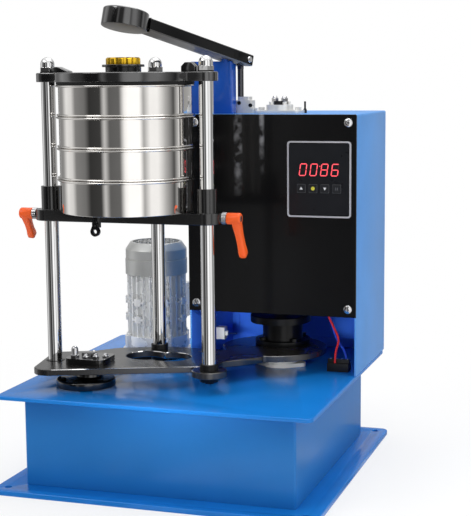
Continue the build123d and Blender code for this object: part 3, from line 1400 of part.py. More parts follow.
write("motor_body", motor_body.part)

FAN_LIFT = 8
FAN_HEIGHT = 26
FAN_R = 44
FAN_DISC = 2
FAN_HUB_R = 15
BLADE_COUNT = 7
BLADE_INSET = 12
BLADE_THICK = 2
SHAFT_TAIL = 14
fan_z = stator_top + FAN_LIFT
motor_shaft_foot = BELT_HEIGHT - SHAFT_TAIL
with BuildPart() as motor_rotor:
    with BuildSketch(Plane.XZ.offset(-motor_y)):
        Polygon(*pulley_profile(motor_x, BELT_HEIGHT, MOTOR_PULLEY_R, MOTOR_SHAFT_R), align=None)
    revolve(axis=Axis((motor_x, motor_y, 0), (0, 0, 1)))
    with BuildSketch(Plane.XY.offset(motor_shaft_foot)):
        with Locations((motor_x, motor_y)):
            Circle(MOTOR_SHAFT_R)
    extrude(amount=fan_z + FAN_HEIGHT - motor_shaft_foot)
    with BuildSketch(Plane.XY.offset(fan_z)):
        with Locations((motor_x, motor_y)):
            Circle(FAN_R)
    extrude(amount=FAN_DISC)
    with BuildSketch(Plane.XY.offset(fan_z + FAN_DISC)):
        with Locations((motor_x, motor_y)):
            Circle(FAN_HUB_R)
            with PolarLocations(FAN_R / 2 + BLADE_THICK, BLADE_COUNT):
                Rectangle(FAN_R - BLADE_INSET, BLADE_THICK)
    extrude(amount=FAN_HEIGHT - FAN_DISC)
write("motor_rotor", motor_rotor.part)

FAN_COVER_R = 53.5
FAN_COVER_WALL = 1.5
FAN_COVER_HEIGHT = 49
BAND_HEIGHT = 24
BAND_STEP = 1
SHOULDER_HEIGHT = 40
CONE_INSET = 8
CROWN_R = 40
FAN_LEDGE = 12
SLOT_COUNT = 12
SLOT_LENGTH = 22
SLOT_WIDTH = 4
SLOT_CIRCLE = 27
fan_cover_top = stator_top + FAN_COVER_HEIGHT
band_z = stator_top + BAND_HEIGHT
shoulder_z = stator_top + SHOULDER_HEIGHT
upper_r = FAN_COVER_R - BAND_STEP
with BuildPart() as fan_cover:
    with BuildSketch(Plane.XZ):
        Polygon(
            (FAN_COVER_R - FAN_LEDGE, stator_top),
            (FAN_COVER_R, stator_top),
            (FAN_COVER_R, band_z),
            (upper_r, band_z),
            (upper_r, shoulder_z),
            (upper_r - CONE_INSET, fan_cover_top - FAN_COVER_WALL),
            (CROWN_R, fan_cover_top),
            (0, fan_cover_top),
            (0, fan_cover_top - FAN_COVER_WALL),
            (CROWN_R, fan_cover_top - FAN_COVER_WALL),
            (upper_r - CONE_INSET - FAN_COVER_WALL, fan_cover_top - 2 * FAN_COVER_WALL),
            (upper_r - FAN_COVER_WALL, shoulder_z),
            (upper_r - FAN_COVER_WALL, stator_top + FAN_COVER_WALL),
            (FAN_COVER_R - FAN_LEDGE, stator_top + FAN_COVER_WALL),
            align=None,
        )
    revolve(axis=Axis.Z)
    with BuildSketch(Plane.XY.offset(fan_cover_top - FAN_COVER_WALL)):
        with PolarLocations(SLOT_CIRCLE, SLOT_COUNT):
            Rectangle(SLOT_LENGTH, SLOT_WIDTH)
    extrude(amount=FAN_COVER_WALL, mode=Mode.SUBTRACT)
write("fan_cover", fan_cover.part.moved(Location((motor_x, motor_y, 0))))

# Electrical fittings: terminal block and leads in the bay, gland at the back

TERMINAL_INSET = 36
TERMINAL_DEPTH = 36
TERMINAL_WIDTH = 36
TERMINAL_SIDE = 18
TERMINAL_LOW = 14
TERMINAL_RIDGE = 8
TERMINAL_RIDGE_RISE = 6
GLAND_OFFSET = 49
GLAND_LIFT = 56
GLAND_NUT_R = 12
GLAND_NUT_THICK = 4
GLAND_R = 9
GLAND_BORE_R = 4
GLAND_LENGTH = 14
terminal_spot = (housing_right - TERMINAL_INSET, housing_front + TERMINAL_DEPTH)
gland_spot = (housing_x - GLAND_OFFSET, deck_top + GLAND_LIFT)
with BuildPart() as terminal_block:
    with BuildSketch(Plane.XY.offset(deck_top)):
        with Locations(terminal_spot):
            Rectangle(TERMINAL_WIDTH, TERMINAL_SIDE)
    extrude(amount=TERMINAL_LOW)
    with BuildSketch(Plane.XY.offset(deck_top + TERMINAL_LOW)):
        with Locations(terminal_spot):
            Rectangle(TERMINAL_WIDTH, TERMINAL_RIDGE)
    extrude(amount=TERMINAL_RIDGE_RISE)
write("terminal_block", terminal_block.part)

with BuildPart() as cable_gland:
    with BuildSketch(Plane.XZ.offset(-housing_back)):
        with Locations(gland_spot):
            Circle(GLAND_NUT_R)
    extrude(amount=-GLAND_NUT_THICK)
    with BuildSketch(Plane.XZ.offset(-housing_back - GLAND_NUT_THICK)):
        with Locations(gland_spot):
            Circle(GLAND_R)
            Circle(GLAND_BORE_R, mode=Mode.SUBTRACT)
    extrude(amount=-GLAND_LENGTH)
write("cable_gland", cable_gland.part)

LEAD_R = 1.8
board_foot = display_z - DISPLAY_HEIGHT / 2
board_edge_y = board_y + BOARD_THICK / 2
LEAD_ROUTES = {
    "red": [(209, 54, 168), (209, 54, 186), (217, 54, 207), (207, 53, 228), (196, 50, 252),
            (193, 46, 290), (191, 42, 330), (190, board_edge_y, 370), (190, board_edge_y, board_foot)],
    "blue": [(225, 66, 168), (225, 66, 184), (210, 65, 203), (203, 64, 222), (200, 60, 250),
             (199, 54, 290), (200, 44, 330), (200, board_edge_y, 370), (200, board_edge_y, board_foot)],
}


def bend_radii(route):
    """Return the largest arc that each corner of a route allows."""
    radii = []
    for before, corner, after in zip(route, route[1:], route[2:]):
        run_in, run_out = Vector(corner) - Vector(before), Vector(after) - Vector(corner)
        half_turn = radians(run_in.get_angle(run_out)) / 2
        radii.append(0.45 * min(run_in.length, run_out.length) / tan(half_turn))
    return radii


for lead_name, route in LEAD_ROUTES.items():
    with BuildPart() as lead:
        with BuildLine() as lead_line:
            FilletPolyline(*route, radius=bend_radii(route))
        with BuildSketch(lead_line.line ^ 0):
            Circle(LEAD_R)
        sweep()
    print(lead_name, "lead, smallest bend", round(min(bend_radii(route)), 1))
    write(f"lead_{lead_name}", lead.part)
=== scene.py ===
"""Sieve shaker, dressed: finishes, fine pieces, floor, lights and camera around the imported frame."""

import json
import logging
import math
from dataclasses import dataclass
from enum import Enum
from typing import Callable, Sequence, Union

import bmesh
import bpy
from mathutils import Matrix, Vector


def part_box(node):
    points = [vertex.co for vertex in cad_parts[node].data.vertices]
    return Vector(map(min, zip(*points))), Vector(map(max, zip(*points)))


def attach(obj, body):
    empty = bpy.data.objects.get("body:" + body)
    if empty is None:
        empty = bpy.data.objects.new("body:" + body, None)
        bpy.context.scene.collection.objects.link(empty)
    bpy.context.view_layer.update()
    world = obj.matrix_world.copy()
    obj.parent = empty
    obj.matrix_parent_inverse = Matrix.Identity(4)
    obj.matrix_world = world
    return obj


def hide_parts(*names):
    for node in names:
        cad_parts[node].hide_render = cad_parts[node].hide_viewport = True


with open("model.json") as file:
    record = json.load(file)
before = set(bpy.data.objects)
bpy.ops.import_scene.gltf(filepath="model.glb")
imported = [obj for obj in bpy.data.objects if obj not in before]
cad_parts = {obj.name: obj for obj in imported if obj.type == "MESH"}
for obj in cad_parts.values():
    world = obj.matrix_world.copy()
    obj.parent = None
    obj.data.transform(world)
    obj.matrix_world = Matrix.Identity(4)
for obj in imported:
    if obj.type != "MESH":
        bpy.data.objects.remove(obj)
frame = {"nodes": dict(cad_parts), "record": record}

log = logging.getLogger("sieve_shaker")

Number = Union[int, float]
Point2 = tuple[float, float]
Point3 = tuple[float, float, float]
Colour = tuple[float, float, float]

MM = 0.001


def srgb(red: int, green: int, blue: int) -> Colour:
    """Turn 0-255 display values into a linear colour.

    Args:
        red: red display value.
        green: green display value.
        blue: blue display value.

    Returns:
        The linear red, green and blue values.
    """
    def linear(value: int) -> float:
        """Undo the display curve for one channel."""
        level = value / 255
        return level / 12.92 if level <= 0.04045 else ((level + 0.055) / 1.055) ** 2.4

    return (linear(red), linear(green), linear(blue))


# Shader expressions


class Wire:
    """A number-valued node socket that takes part in Python arithmetic."""

    def __init__(self, graph: "Graph", socket: bpy.types.NodeSocket) -> None:
        """Keep the graph that new Math nodes go to, and the socket."""
        self.graph = graph
        self.socket = socket

    def _math(self, operation: str, *operands: Union["Wire", Number]) -> "Wire":
        """Add one Math node.

        Args:
            operation: the Math node's operation.
            operands: its inputs, in order.

        Returns:
            The node's result.
        """
        values = dict(enumerate(operands))
        return self.graph.node("ShaderNodeMath", {"operation": operation}, values)["Value"]

    def __add__(self, other: Union["Wire", Number]) -> "Wire":
        """Sum."""
        return self._math("ADD", self, other)

    __radd__ = __add__

    def __sub__(self, other: Union["Wire", Number]) -> "Wire":
        """Difference."""
        return self._math("SUBTRACT", self, other)

    def __rsub__(self, other: Number) -> "Wire":
        """Difference from a number."""
        return self._math("SUBTRACT", other, self)

    def __mul__(self, other: Union["Wire", Number]) -> "Wire":
        """Product."""
        return self._math("MULTIPLY", self, other)

    __rmul__ = __mul__

    def __truediv__(self, other: Union["Wire", Number]) -> "Wire":
        """Quotient."""
        return self._math("DIVIDE", self, other)

    def __pow__(self, other: Number) -> "Wire":
        """Power."""
        return self._math("POWER", self, other)

    def __gt__(self, other: Number) -> "Wire":
        """One where the value is greater, else zero."""
        return self._math("GREATER_THAN", self, other)

    def clamp(self) -> "Wire":
        """Keep the value between zero and one."""
        return self._math("MINIMUM", self._math("MAXIMUM", self, 0.0), 1.0)

    def maximum(self, other: Union["Wire", Number]) -> "Wire":
        """Greater of two values."""
        return self._math("MAXIMUM", self, other)

    def sine(self) -> "Wire":
        """Sine of the value in radians."""
        return self._math("SINE", self)

    def bearing(self, other: "Wire") -> "Wire":
        """Angle in radians whose sine follows this value and whose cosine follows the other."""
        return self._math("ARCTAN2", self, other)


class Graph:
    """A material's node tree, built from one general method and a few named ones."""

    def __init__(self, name: str) -> None:
        """Make the material with only its output left."""
        self.material = bpy.data.materials.new(name)
        self.material.use_nodes = True
        self.tree = self.material.node_tree
        self.tree.nodes.clear()
        self.output = self.tree.nodes.new("ShaderNodeOutputMaterial")

    def node(self, kind: str, settings: dict, inputs: dict) -> dict[str, Wire]:
        """Add a node.

        Args:
            kind: the node's type name.
            settings: attributes that are set first; "stops" fills a ramp.
            inputs: socket name or index to a value, a wire or a raw socket.

        Returns:
            The node's outputs by name.
        """
        node = self.tree.nodes.new(kind)
        for key, value in settings.items():
            if key == "stops":
                self._fill_ramp(node.color_ramp, value)
            else:
                setattr(node, key, value)
        for key, value in inputs.items():
            socket = node.inputs[key]
            if isinstance(value, Wire):
                self.tree.links.new(value.socket, socket)
            elif isinstance(value, tuple) and len(value) == 3 and socket.type == "RGBA":
                socket.default_value = (*value, 1.0)
            else:
                socket.default_value = value
        return {out.name: Wire(self, out) for out in node.outputs if out.enabled}

    @staticmethod
    def _fill_ramp(ramp: bpy.types.ColorRamp, stops: Sequence[tuple[float, Number]]) -> None:
        """Set a ramp's grey stops.

        Args:
            ramp: the colour ramp.
            stops: (position, grey value) pairs in order.
        """
        while len(ramp.elements) < len(stops):
            ramp.elements.new(0.5)
        for element, (position, grey) in zip(ramp.elements, stops):
            element.position = position
            element.color = (grey, grey, grey, 1.0)

    def place(self) -> Wire:
        """Object coordinates, in metres in the CAD frame."""
        return self.node("ShaderNodeTexCoord", {}, {})["Object"]

    def stretched(self, scale: Point3) -> Wire:
        """Object coordinates times a scale for each axis."""
        return self.node("ShaderNodeVectorMath", {"operation": "MULTIPLY"}, {0: self.place(), 1: scale})["Vector"]

    def noise(self, scale: float, detail: float = 2.0, where: Union[Wire, None] = None) -> Wire:
        """Fractal noise from zero to one.

        Args:
            scale: features for each metre.
            detail: octaves.
            where: coordinates, or None for the plain object ones.

        Returns:
            The noise value.
        """
        inputs = {"Vector": where or self.place(), "Scale": scale, "Detail": detail}
        return self.node("ShaderNodeTexNoise", {}, inputs)["Fac"]

    def mix(self, factor: Union[Wire, Number], first: Union[Wire, Colour], second: Union[Wire, Colour]) -> Wire:
        """Blend two colours.

        Args:
            factor: zero for the first, one for the second.
            first: a colour.
            second: a colour.

        Returns:
            The blended colour.
        """
        node = self.tree.nodes.new("ShaderNodeMix")
        node.data_type = "RGBA"
        for index, value in ((0, factor), (6, first), (7, second)):
            if isinstance(value, Wire):
                self.tree.links.new(value.socket, node.inputs[index])
            else:
                node.inputs[index].default_value = (*value, 1.0) if isinstance(value, tuple) else value
        return Wire(self, node.outputs[2])

    def bump(self, height: Wire, distance: float, strength: float = 1.0) -> Wire:
        """Turn a height into a normal.

        Args:
            height: the height, about zero to one.
            distance: what one means, in metres.
            strength: how much of it shows.

        Returns:
            The bumped normal.
        """
        inputs = {"Height": height, "Distance": distance, "Strength": strength}
        return self.node("ShaderNodeBump", {}, inputs)["Normal"]

    def finish(self, inputs: dict) -> bpy.types.Material:
        """Join a Principled shader with these inputs to the output.

        Args:
            inputs: Principled socket names to values or wires.

        Returns:
            The material.
        """
        shader = self.node("ShaderNodeBsdfPrincipled", {}, inputs)["BSDF"]
        self.tree.links.new(shader.socket, self.output.inputs["Surface"])
        return self.material


# Finishes


@dataclass(frozen=True)
class Paint:
    """Sprayed paint: gloss coat over a colour, with orange peel and faint dust."""

    name: str
    colour: Colour
    roughness: float = 0.3
    coat: float = 0.6
    peel_scale: float = 900.0
    peel_height: float = 0.00003
    mottle: float = 0.06
    shine: float = 0.5

    def build(self) -> bpy.types.Material:
        """Make the material."""
        graph = Graph(self.name)
        cloud = graph.noise(14.0, 3.0)
        dark = tuple(value * (1 - 2 * self.mottle) for value in self.colour)
        light = tuple(min(1.0, value * (1 + self.mottle)) for value in self.colour)
        peel = graph.noise(self.peel_scale, 2.0)
        return graph.finish({
            "Base Color": graph.mix(cloud, dark, light),
            "Roughness": self.roughness + 0.1 * (cloud - 0.5),
            "Specular IOR Level": self.shine,
            "Coat Weight": self.coat,
            "Coat Roughness": 0.06,
            "Normal": graph.bump(peel, self.peel_height),
        })


@dataclass(frozen=True)
class PaintedReflections(Paint):
    """Sprayed paint with upright streaks of painted reflection under its top edge."""

    # Each streak is a painted reflection: the middle x, half width and lowest height of a grey band.
    reflection_streaks: tuple[Point3, ...] = ((0.055, 0.008, 0.44), (0.095, 0.005, 0.475))
    reflection_grey: Colour = (0.24, 0.24, 0.25)

    def build(self) -> bpy.types.Material:
        """Make the material."""
        graph = Graph(self.name)
        spot = graph.node("ShaderNodeSeparateXYZ", {}, {"Vector": graph.place()})
        # Mask of the painted reflection streaks, broken up by noise blots.
        reflection_mask = 0.0
        for middle, half, low in self.reflection_streaks:
            across = (spot["X"] - middle) / half
            reflection_mask = (1 - across * across).clamp() * ((spot["Z"] - low) * 20).clamp() + reflection_mask
        reflection_blots = ((graph.noise(60.0, 2.0) - 0.38) * 4).clamp()
        cloud = graph.noise(14.0, 3.0)
        return graph.finish({
            "Base Color": graph.mix(reflection_mask * reflection_blots, self.colour, self.reflection_grey),
            "Roughness": self.roughness + 0.1 * (cloud - 0.5),
            "Specular IOR Level": self.shine,
            "Coat Weight": self.coat,
            "Coat Roughness": 0.06,
            "Normal": graph.bump(graph.noise(self.peel_scale, 2.0), self.peel_height),
        })


@dataclass(frozen=True)
class Moulding:
    """Moulded plastic or rubber with a fine grain."""

    name: str
    colour: Colour
    roughness: float = 0.45
    grain_scale: float = 2500.0
    grain_height: float = 0.00002
    coat: float = 0.0
    shine: float = 0.5

    def build(self) -> bpy.types.Material:
        """Make the material."""
        graph = Graph(self.name)
        wear = graph.noise(40.0, 3.0)
        worn = tuple(min(1.0, value * 1.25 + 0.004) for value in self.colour)
        grain = graph.noise(self.grain_scale, 1.0)
        return graph.finish({
            "Base Color": graph.mix(wear * 0.6, self.colour, worn),
            "Roughness": self.roughness + 0.15 * (wear - 0.5),
            "Specular IOR Level": self.shine,
            "Coat Weight": self.coat,
            "Normal": graph.bump(grain, self.grain_height),
        })


class Lay(Enum):
    """Direction that a metal's tool marks run in."""

    TURNED = (60.0, 60.0, 1400.0)
    DRAWN = (1400.0, 1400.0, 20.0)
    EVEN = (500.0, 500.0, 500.0)


@dataclass(frozen=True)
class Metal:
    """Bare metal with tool marks in one direction and faint smudges."""

    name: str
    colour: Colour
    roughness: float = 0.2
    lay: Lay = Lay.EVEN
    marks: float = 0.08
    groove: float = 0.000004
    smudge: float = 0.1

    def build(self) -> bpy.types.Material:
        """Make the material."""
        graph = Graph(self.name)
        lines = graph.noise(1.0, 3.0, graph.stretched(self.lay.value))
        smear = graph.noise(25.0, 3.0)
        dim = tuple(value * 0.86 for value in self.colour)
        return graph.finish({
            "Base Color": graph.mix(smear, dim, self.colour),
            "Metallic": 1.0,
            "Roughness": (self.roughness + self.marks * (lines - 0.5) + self.smudge * (smear - 0.5)).maximum(0.03),
            "Normal": graph.bump(lines, self.groove),
        })


@dataclass(frozen=True)
class Casting:
    """Cast metal: rough skin, paint or bare, with shallow pits."""

    name: str
    colour: Colour
    metallic: float = 0.0
    roughness: float = 0.5
    pit_scale: float = 700.0
    pit_depth: float = 0.00008

    def build(self) -> bpy.types.Material:
        """Make the material."""
        graph = Graph(self.name)
        skin = graph.noise(self.pit_scale, 3.0)
        stain = graph.noise(30.0, 4.0)
        dull = tuple(value * 0.72 for value in self.colour)
        return graph.finish({
            "Base Color": graph.mix(stain, dull, self.colour),
            "Metallic": self.metallic,
            "Roughness": self.roughness + 0.2 * (stain - 0.5),
            "Normal": graph.bump(skin, self.pit_depth),
        })


@dataclass(frozen=True)
class WireCloth:
    """Woven wire cloth: two sets of round wires with the light showing between them."""

    name: str
    colour: Colour
    pitch: float = 0.0016
    open_part: float = 0.45

    def build(self) -> bpy.types.Material:
        """Make the material."""
        graph = Graph(self.name)
        parts = graph.node("ShaderNodeSeparateXYZ", {}, {"Vector": graph.place()})
        turns = 2 * math.pi / self.pitch
        warp = (parts["X"] * turns).sine() * 0.5 + 0.5
        weft = (parts["Y"] * turns).sine() * 0.5 + 0.5
        height = warp.maximum(weft)
        return graph.finish({
            "Base Color": self.colour,
            "Metallic": 1.0,
            "Roughness": 0.35 + 0.3 * (1 - height),
            "Alpha": height > self.open_part,
            "Normal": graph.bump(height, 0.0003),
        })


@dataclass(frozen=True)
class Glow:
    """Lit segment of a display."""

    name: str
    colour: Colour
    strength: float = 2.0

    def build(self) -> bpy.types.Material:
        """Make the material."""
        graph = Graph(self.name)
        cells = graph.noise(900.0, 1.0)
        core = tuple(min(1.0, value + 0.2) for value in self.colour)
        return graph.finish({
            "Base Color": self.colour,
            "Roughness": 0.4,
            "Emission Color": graph.mix(cells, self.colour, core),
            "Emission Strength": self.strength,
        })


@dataclass(frozen=True)
class Printed:
    """Printed mark on a panel, with the slight unevenness of screen ink and a faint painted glow."""

    name: str
    colour: Colour

    def build(self) -> bpy.types.Material:
        """Make the material."""
        graph = Graph(self.name)
        ink = graph.noise(1200.0, 2.0)
        thin = tuple(value * 0.8 for value in self.colour)
        return graph.finish({
            "Base Color": graph.mix(ink, thin, self.colour),
            "Roughness": 0.5 + 0.1 * ink,
            # Painted glow: the ink emits a faint light of its own colour.
            "Emission Color": graph.mix(ink, thin, self.colour),
            "Emission Strength": 0.15,
        })


FINISHES = {
    "base_paint": Paint("base_paint", srgb(32, 120, 194), 0.36, 0.08, 700.0, 0.00004, 0.05, 0.25),
    "deck_paint": Paint("deck_paint", srgb(24, 124, 210), 0.24, 0.06, 500.0, 0.00002, 0.05, 0.28),
    "housing_paint": Paint("housing_paint", srgb(88, 152, 222), 0.45, 0.08, 330.0, 0.00028, 0.09, 0.25),
    # Brighter, bluer copy of the housing paint for the shaded inside of the housing: painted light.
    "bay_painted_light": Paint("bay_painted_light", srgb(64, 124, 250), 0.4, 0.1, 330.0, 0.0001, 0.09, 0.25),
    "post_paint": Paint("post_paint", srgb(24, 88, 190), 0.22, 0.3, 500.0, 0.00002, 0.05, 0.4),
    # The black panel's paint carries two painted reflection streaks.
    "panel_gloss": PaintedReflections("panel_gloss", srgb(13, 13, 14), 0.22, 0.08, 300.0, 0.00001, 0.2, 0.2),
    "plate_gloss": Paint("plate_gloss", srgb(22, 20, 19), 0.27, 0.15, 400.0, 0.00001, 0.15, 1.0),
    "cover_gloss": Paint("cover_gloss", srgb(12, 12, 13), 0.09, 0.9, 400.0, 0.00001, 0.2, 1.0),
    "black_gloss": Paint("black_gloss", srgb(10, 10, 11), 0.14, 0.4, 400.0, 0.00002, 0.2, 0.7),
    "black_satin": Paint("black_satin", srgb(8, 8, 9), 0.34, 0.06, 700.0, 0.00003, 0.15, 0.2),
    # Grey that stands in for the lit floor seen on black undersides: a painted reflection.
    "underside_reflection": Paint("underside_reflection", srgb(112, 111, 110), 0.4, 0.1, 700.0, 0.00003, 0.12, 0.3),
    "white_casting": Casting("white_casting", srgb(226, 226, 222)),
    "pale_casting": Casting("pale_casting", srgb(244, 244, 242), 0.4, 0.32, 900.0, 0.00004),
    "motor_casting": Casting("motor_casting", srgb(250, 251, 251), 0.38, 0.28, 900.0, 0.00004),
    "fan_casting": Casting("fan_casting", srgb(194, 195, 193), 0.45, 0.34, 900.0, 0.00005),
    "dark_casting": Casting("dark_casting", srgb(40, 41, 44), 0.6, 0.38),
    "black_plastic": Moulding("black_plastic", srgb(17, 17, 18), shine=0.35),
    "orange_plastic": Moulding("orange_plastic", srgb(242, 92, 26), 0.38, shine=0.35),
    "display_plastic": Moulding("display_plastic", srgb(20, 22, 27), 0.3, coat=0.1, shine=0.25),
    "bezel_plastic": Moulding("bezel_plastic", srgb(176, 176, 182), 0.35),
    "key_plastic": Moulding("key_plastic", srgb(28, 30, 34), 0.5, shine=0.3),
    "board_plastic": Moulding("board_plastic", srgb(24, 92, 52), 0.4),
    "white_plastic": Moulding("white_plastic", srgb(236, 236, 232), 0.4),
    "rubber": Moulding("rubber", srgb(24, 24, 24), 0.75, 900.0, 0.00006, shine=0.3),
    "red_sleeve": Moulding("red_sleeve", srgb(206, 30, 34), 0.4),
    "blue_sleeve": Moulding("blue_sleeve", srgb(30, 74, 200), 0.4),
    "amber_plug": Metal("amber_plug", srgb(243, 196, 52), 0.24, Lay.TURNED),
    "sieve_steel": Metal("sieve_steel", srgb(240, 237, 233), 0.05, Lay.TURNED, 0.03, smudge=0.05),
    "chrome": Metal("chrome", srgb(232, 232, 232), 0.05, Lay.DRAWN, 0.03, smudge=0.05),
    "dark_steel": Metal("dark_steel", srgb(84, 84, 88), 0.16, Lay.DRAWN),
    "turned_steel": Metal("turned_steel", srgb(196, 196, 198), 0.22, Lay.TURNED),
    "bright_steel": Metal("bright_steel", srgb(214, 214, 216), 0.14, Lay.EVEN),
    "cast_aluminium": Metal("cast_aluminium", srgb(196, 198, 200), 0.3, Lay.EVEN, 0.15),
    "wire_cloth": WireCloth("wire_cloth", srgb(190, 190, 188)),
    "red_glow": Glow("red_glow", srgb(246, 44, 62), 1.0),
    "dim_segment": Printed("dim_segment", srgb(52, 10, 16)),
    "white_ink": Printed("white_ink", srgb(226, 228, 230)),
    "grey_ink": Printed("grey_ink", srgb(92, 94, 98)),
    "yellow_ink": Printed("yellow_ink", srgb(214, 208, 60)),
}


class Shelf:
    """Keeps each finish's material once it is made."""

    def __init__(self) -> None:
        """Start empty."""
        self.made: dict[str, bpy.types.Material] = {}

    def get(self, name: str) -> bpy.types.Material:
        """Return a finish's material, making it on first use."""
        if name not in self.made:
            self.made[name] = FINISHES[name].build()
        return self.made[name]


SHELF = Shelf()

NODE_FINISH = {
    "base_plate": "deck_paint", "base_walls": "base_paint", "base_hatch": "base_paint", "deck": "deck_paint",
    "cover_screws": "bright_steel", "housing_shell": "housing_paint", "front_panel": "panel_gloss",
    "rear_cover": "housing_paint", "display_bezel": "bezel_plastic", "display_face": "display_plastic",
    "control_board": "board_plastic", "hammer_post": "post_paint", "pivot_pin": "black_satin",
    "gear_shelf": "turned_steel", "rod_guide": "pale_casting", "upper_bearing": "pale_casting",
    "main_bearings": "white_casting", "drive_belt": "rubber", "crank_bearing": "white_casting",
    "motor_body": "motor_casting", "fan_cover": "fan_casting", "terminal_block": "black_plastic",
    "cable_gland": "black_plastic", "lead_red": "red_sleeve", "lead_blue": "blue_sleeve",
    "main_shaft": "dark_casting", "drive_pinion": "turned_steel", "counterweight": "dark_casting",
    "drive_pulley": "cast_aluminium", "left_crank": "black_gloss", "motor_rotor": "black_plastic",
    "cam_gear": "turned_steel", "tapping_arm": "black_satin", "arm_weight": "cover_gloss",
    "tail_bolt": "bright_steel", "lift_rod": "dark_steel", "moving_plate": "plate_gloss",
    "main_flange": "black_satin", "crank_flange": "black_gloss", "pillars": "chrome",
    "pillar_feet": "black_satin", "pillar_nuts": "chrome", "top_cover": "cover_gloss",
    "cover_clamps": "cover_gloss", "plug_collar": "black_gloss", "tapping_plug": "amber_plug",
    "support_stage": "black_gloss", "receiver_pan": "sieve_steel", "sieve_1": "sieve_steel",
    "sieve_2": "sieve_steel", "sieve_3": "sieve_steel", "sieve_meshes": "wire_cloth",
    "cover_seal": "rubber", "lever_left": "orange_plastic", "lever_right": "orange_plastic",
    "latch_ring": "black_gloss", "key_up": "key_plastic", "key_mode": "key_plastic",
    "key_down": "key_plastic", "key_start": "key_plastic",
}


def dress_nodes(nodes: dict[str, bpy.types.Object]) -> None:
    """Give every carried-over CAD node its finish.

    Args:
        nodes: the frame's node objects by name.
    """
    for name, node in nodes.items():
        material = SHELF.get(NODE_FINISH[name])
        if not node.material_slots:
            node.data.materials.append(material)
        for slot in node.material_slots:
            slot.material = material
        log.info("dressed node %s in %s", name, material.name)


# Mesh kit


@dataclass(frozen=True)
class Extent:
    """Lowest and highest corners of something in the frame."""

    low: Vector
    high: Vector

    @classmethod
    def of(cls, node: str) -> "Extent":
        """Take the extent of a CAD node."""
        low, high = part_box(node)
        return cls(Vector(low), Vector(high))

    @property
    def centre(self) -> Vector:
        """Middle of the extent."""
        return (self.low + self.high) / 2

    @property
    def size(self) -> Vector:
        """Width, depth and height."""
        return self.high - self.low


BODY_OF = {node: body for body, nodes in frame["record"]["behaviour"]["bodies"].items() for node in nodes}
FACING_FRONT = Matrix.Rotation(math.radians(90), 4, "X")


def arc(centre: Point2, radius: Point2, start: float, stop: float, steps: int = 8) -> list[Point2]:
    """Points on a stretch of an ellipse.

    Args:
        centre: the ellipse's middle.
        radius: its half width and half height.
        start: first angle in degrees.
        stop: last angle in degrees.
        steps: how many pieces the stretch has.

    Returns:
        The points, from start to stop.
    """
    angles = [math.radians(start + (stop - start) * index / steps) for index in range(steps + 1)]
    return [(centre[0] + radius[0] * math.cos(a), centre[1] + radius[1] * math.sin(a)) for a in angles]


def round_ring(radius: float, height: float, steps: int = 96) -> list[Vector]:
    """A level circle of points, or its one middle point where the radius is nil."""
    if radius < 1e-7:
        return [Vector((0, 0, height))]
    turns = [2 * math.pi * index / steps for index in range(steps)]
    return [Vector((radius * math.cos(turn), radius * math.sin(turn), height)) for turn in turns]


def hex_ring(apothem: float, height: float, steps: int = 96) -> list[Vector]:
    """A level hexagon with as many points as a round ring has."""
    ring = []
    for index in range(steps):
        turn = 2 * math.pi * index / steps
        reach = apothem / math.cos((turn % (math.pi / 3)) - math.pi / 6)
        ring.append(Vector((reach * math.cos(turn), reach * math.sin(turn), height)))
    return ring


def frame_outline(width: float, height: float, bend: float, steps: int = 6) -> list[Point2]:
    """A rounded rectangle round the origin."""
    across, up = width / 2 - bend, height / 2 - bend
    points = []
    for corner, (side, rise) in enumerate(((1, 1), (-1, 1), (-1, -1), (1, -1))):
        points += arc((side * across, rise * up), (bend, bend), 90 * corner, 90 * corner + 90, steps)
    return points


def standing(origin: Sequence[float], direction: Sequence[float], roll: float = 0.0) -> Matrix:
    """Place whose Z axis points in a direction.

    Args:
        origin: where the place's origin lies.
        direction: where its Z axis points.
        roll: turn about that axis, in degrees.

    Returns:
        The matrix from the place to the frame.
    """
    turn = Vector(direction).to_track_quat("Z", "Y").to_matrix().to_4x4()
    return Matrix.Translation(Vector(origin)) @ turn @ Matrix.Rotation(math.radians(roll), 4, "Z")


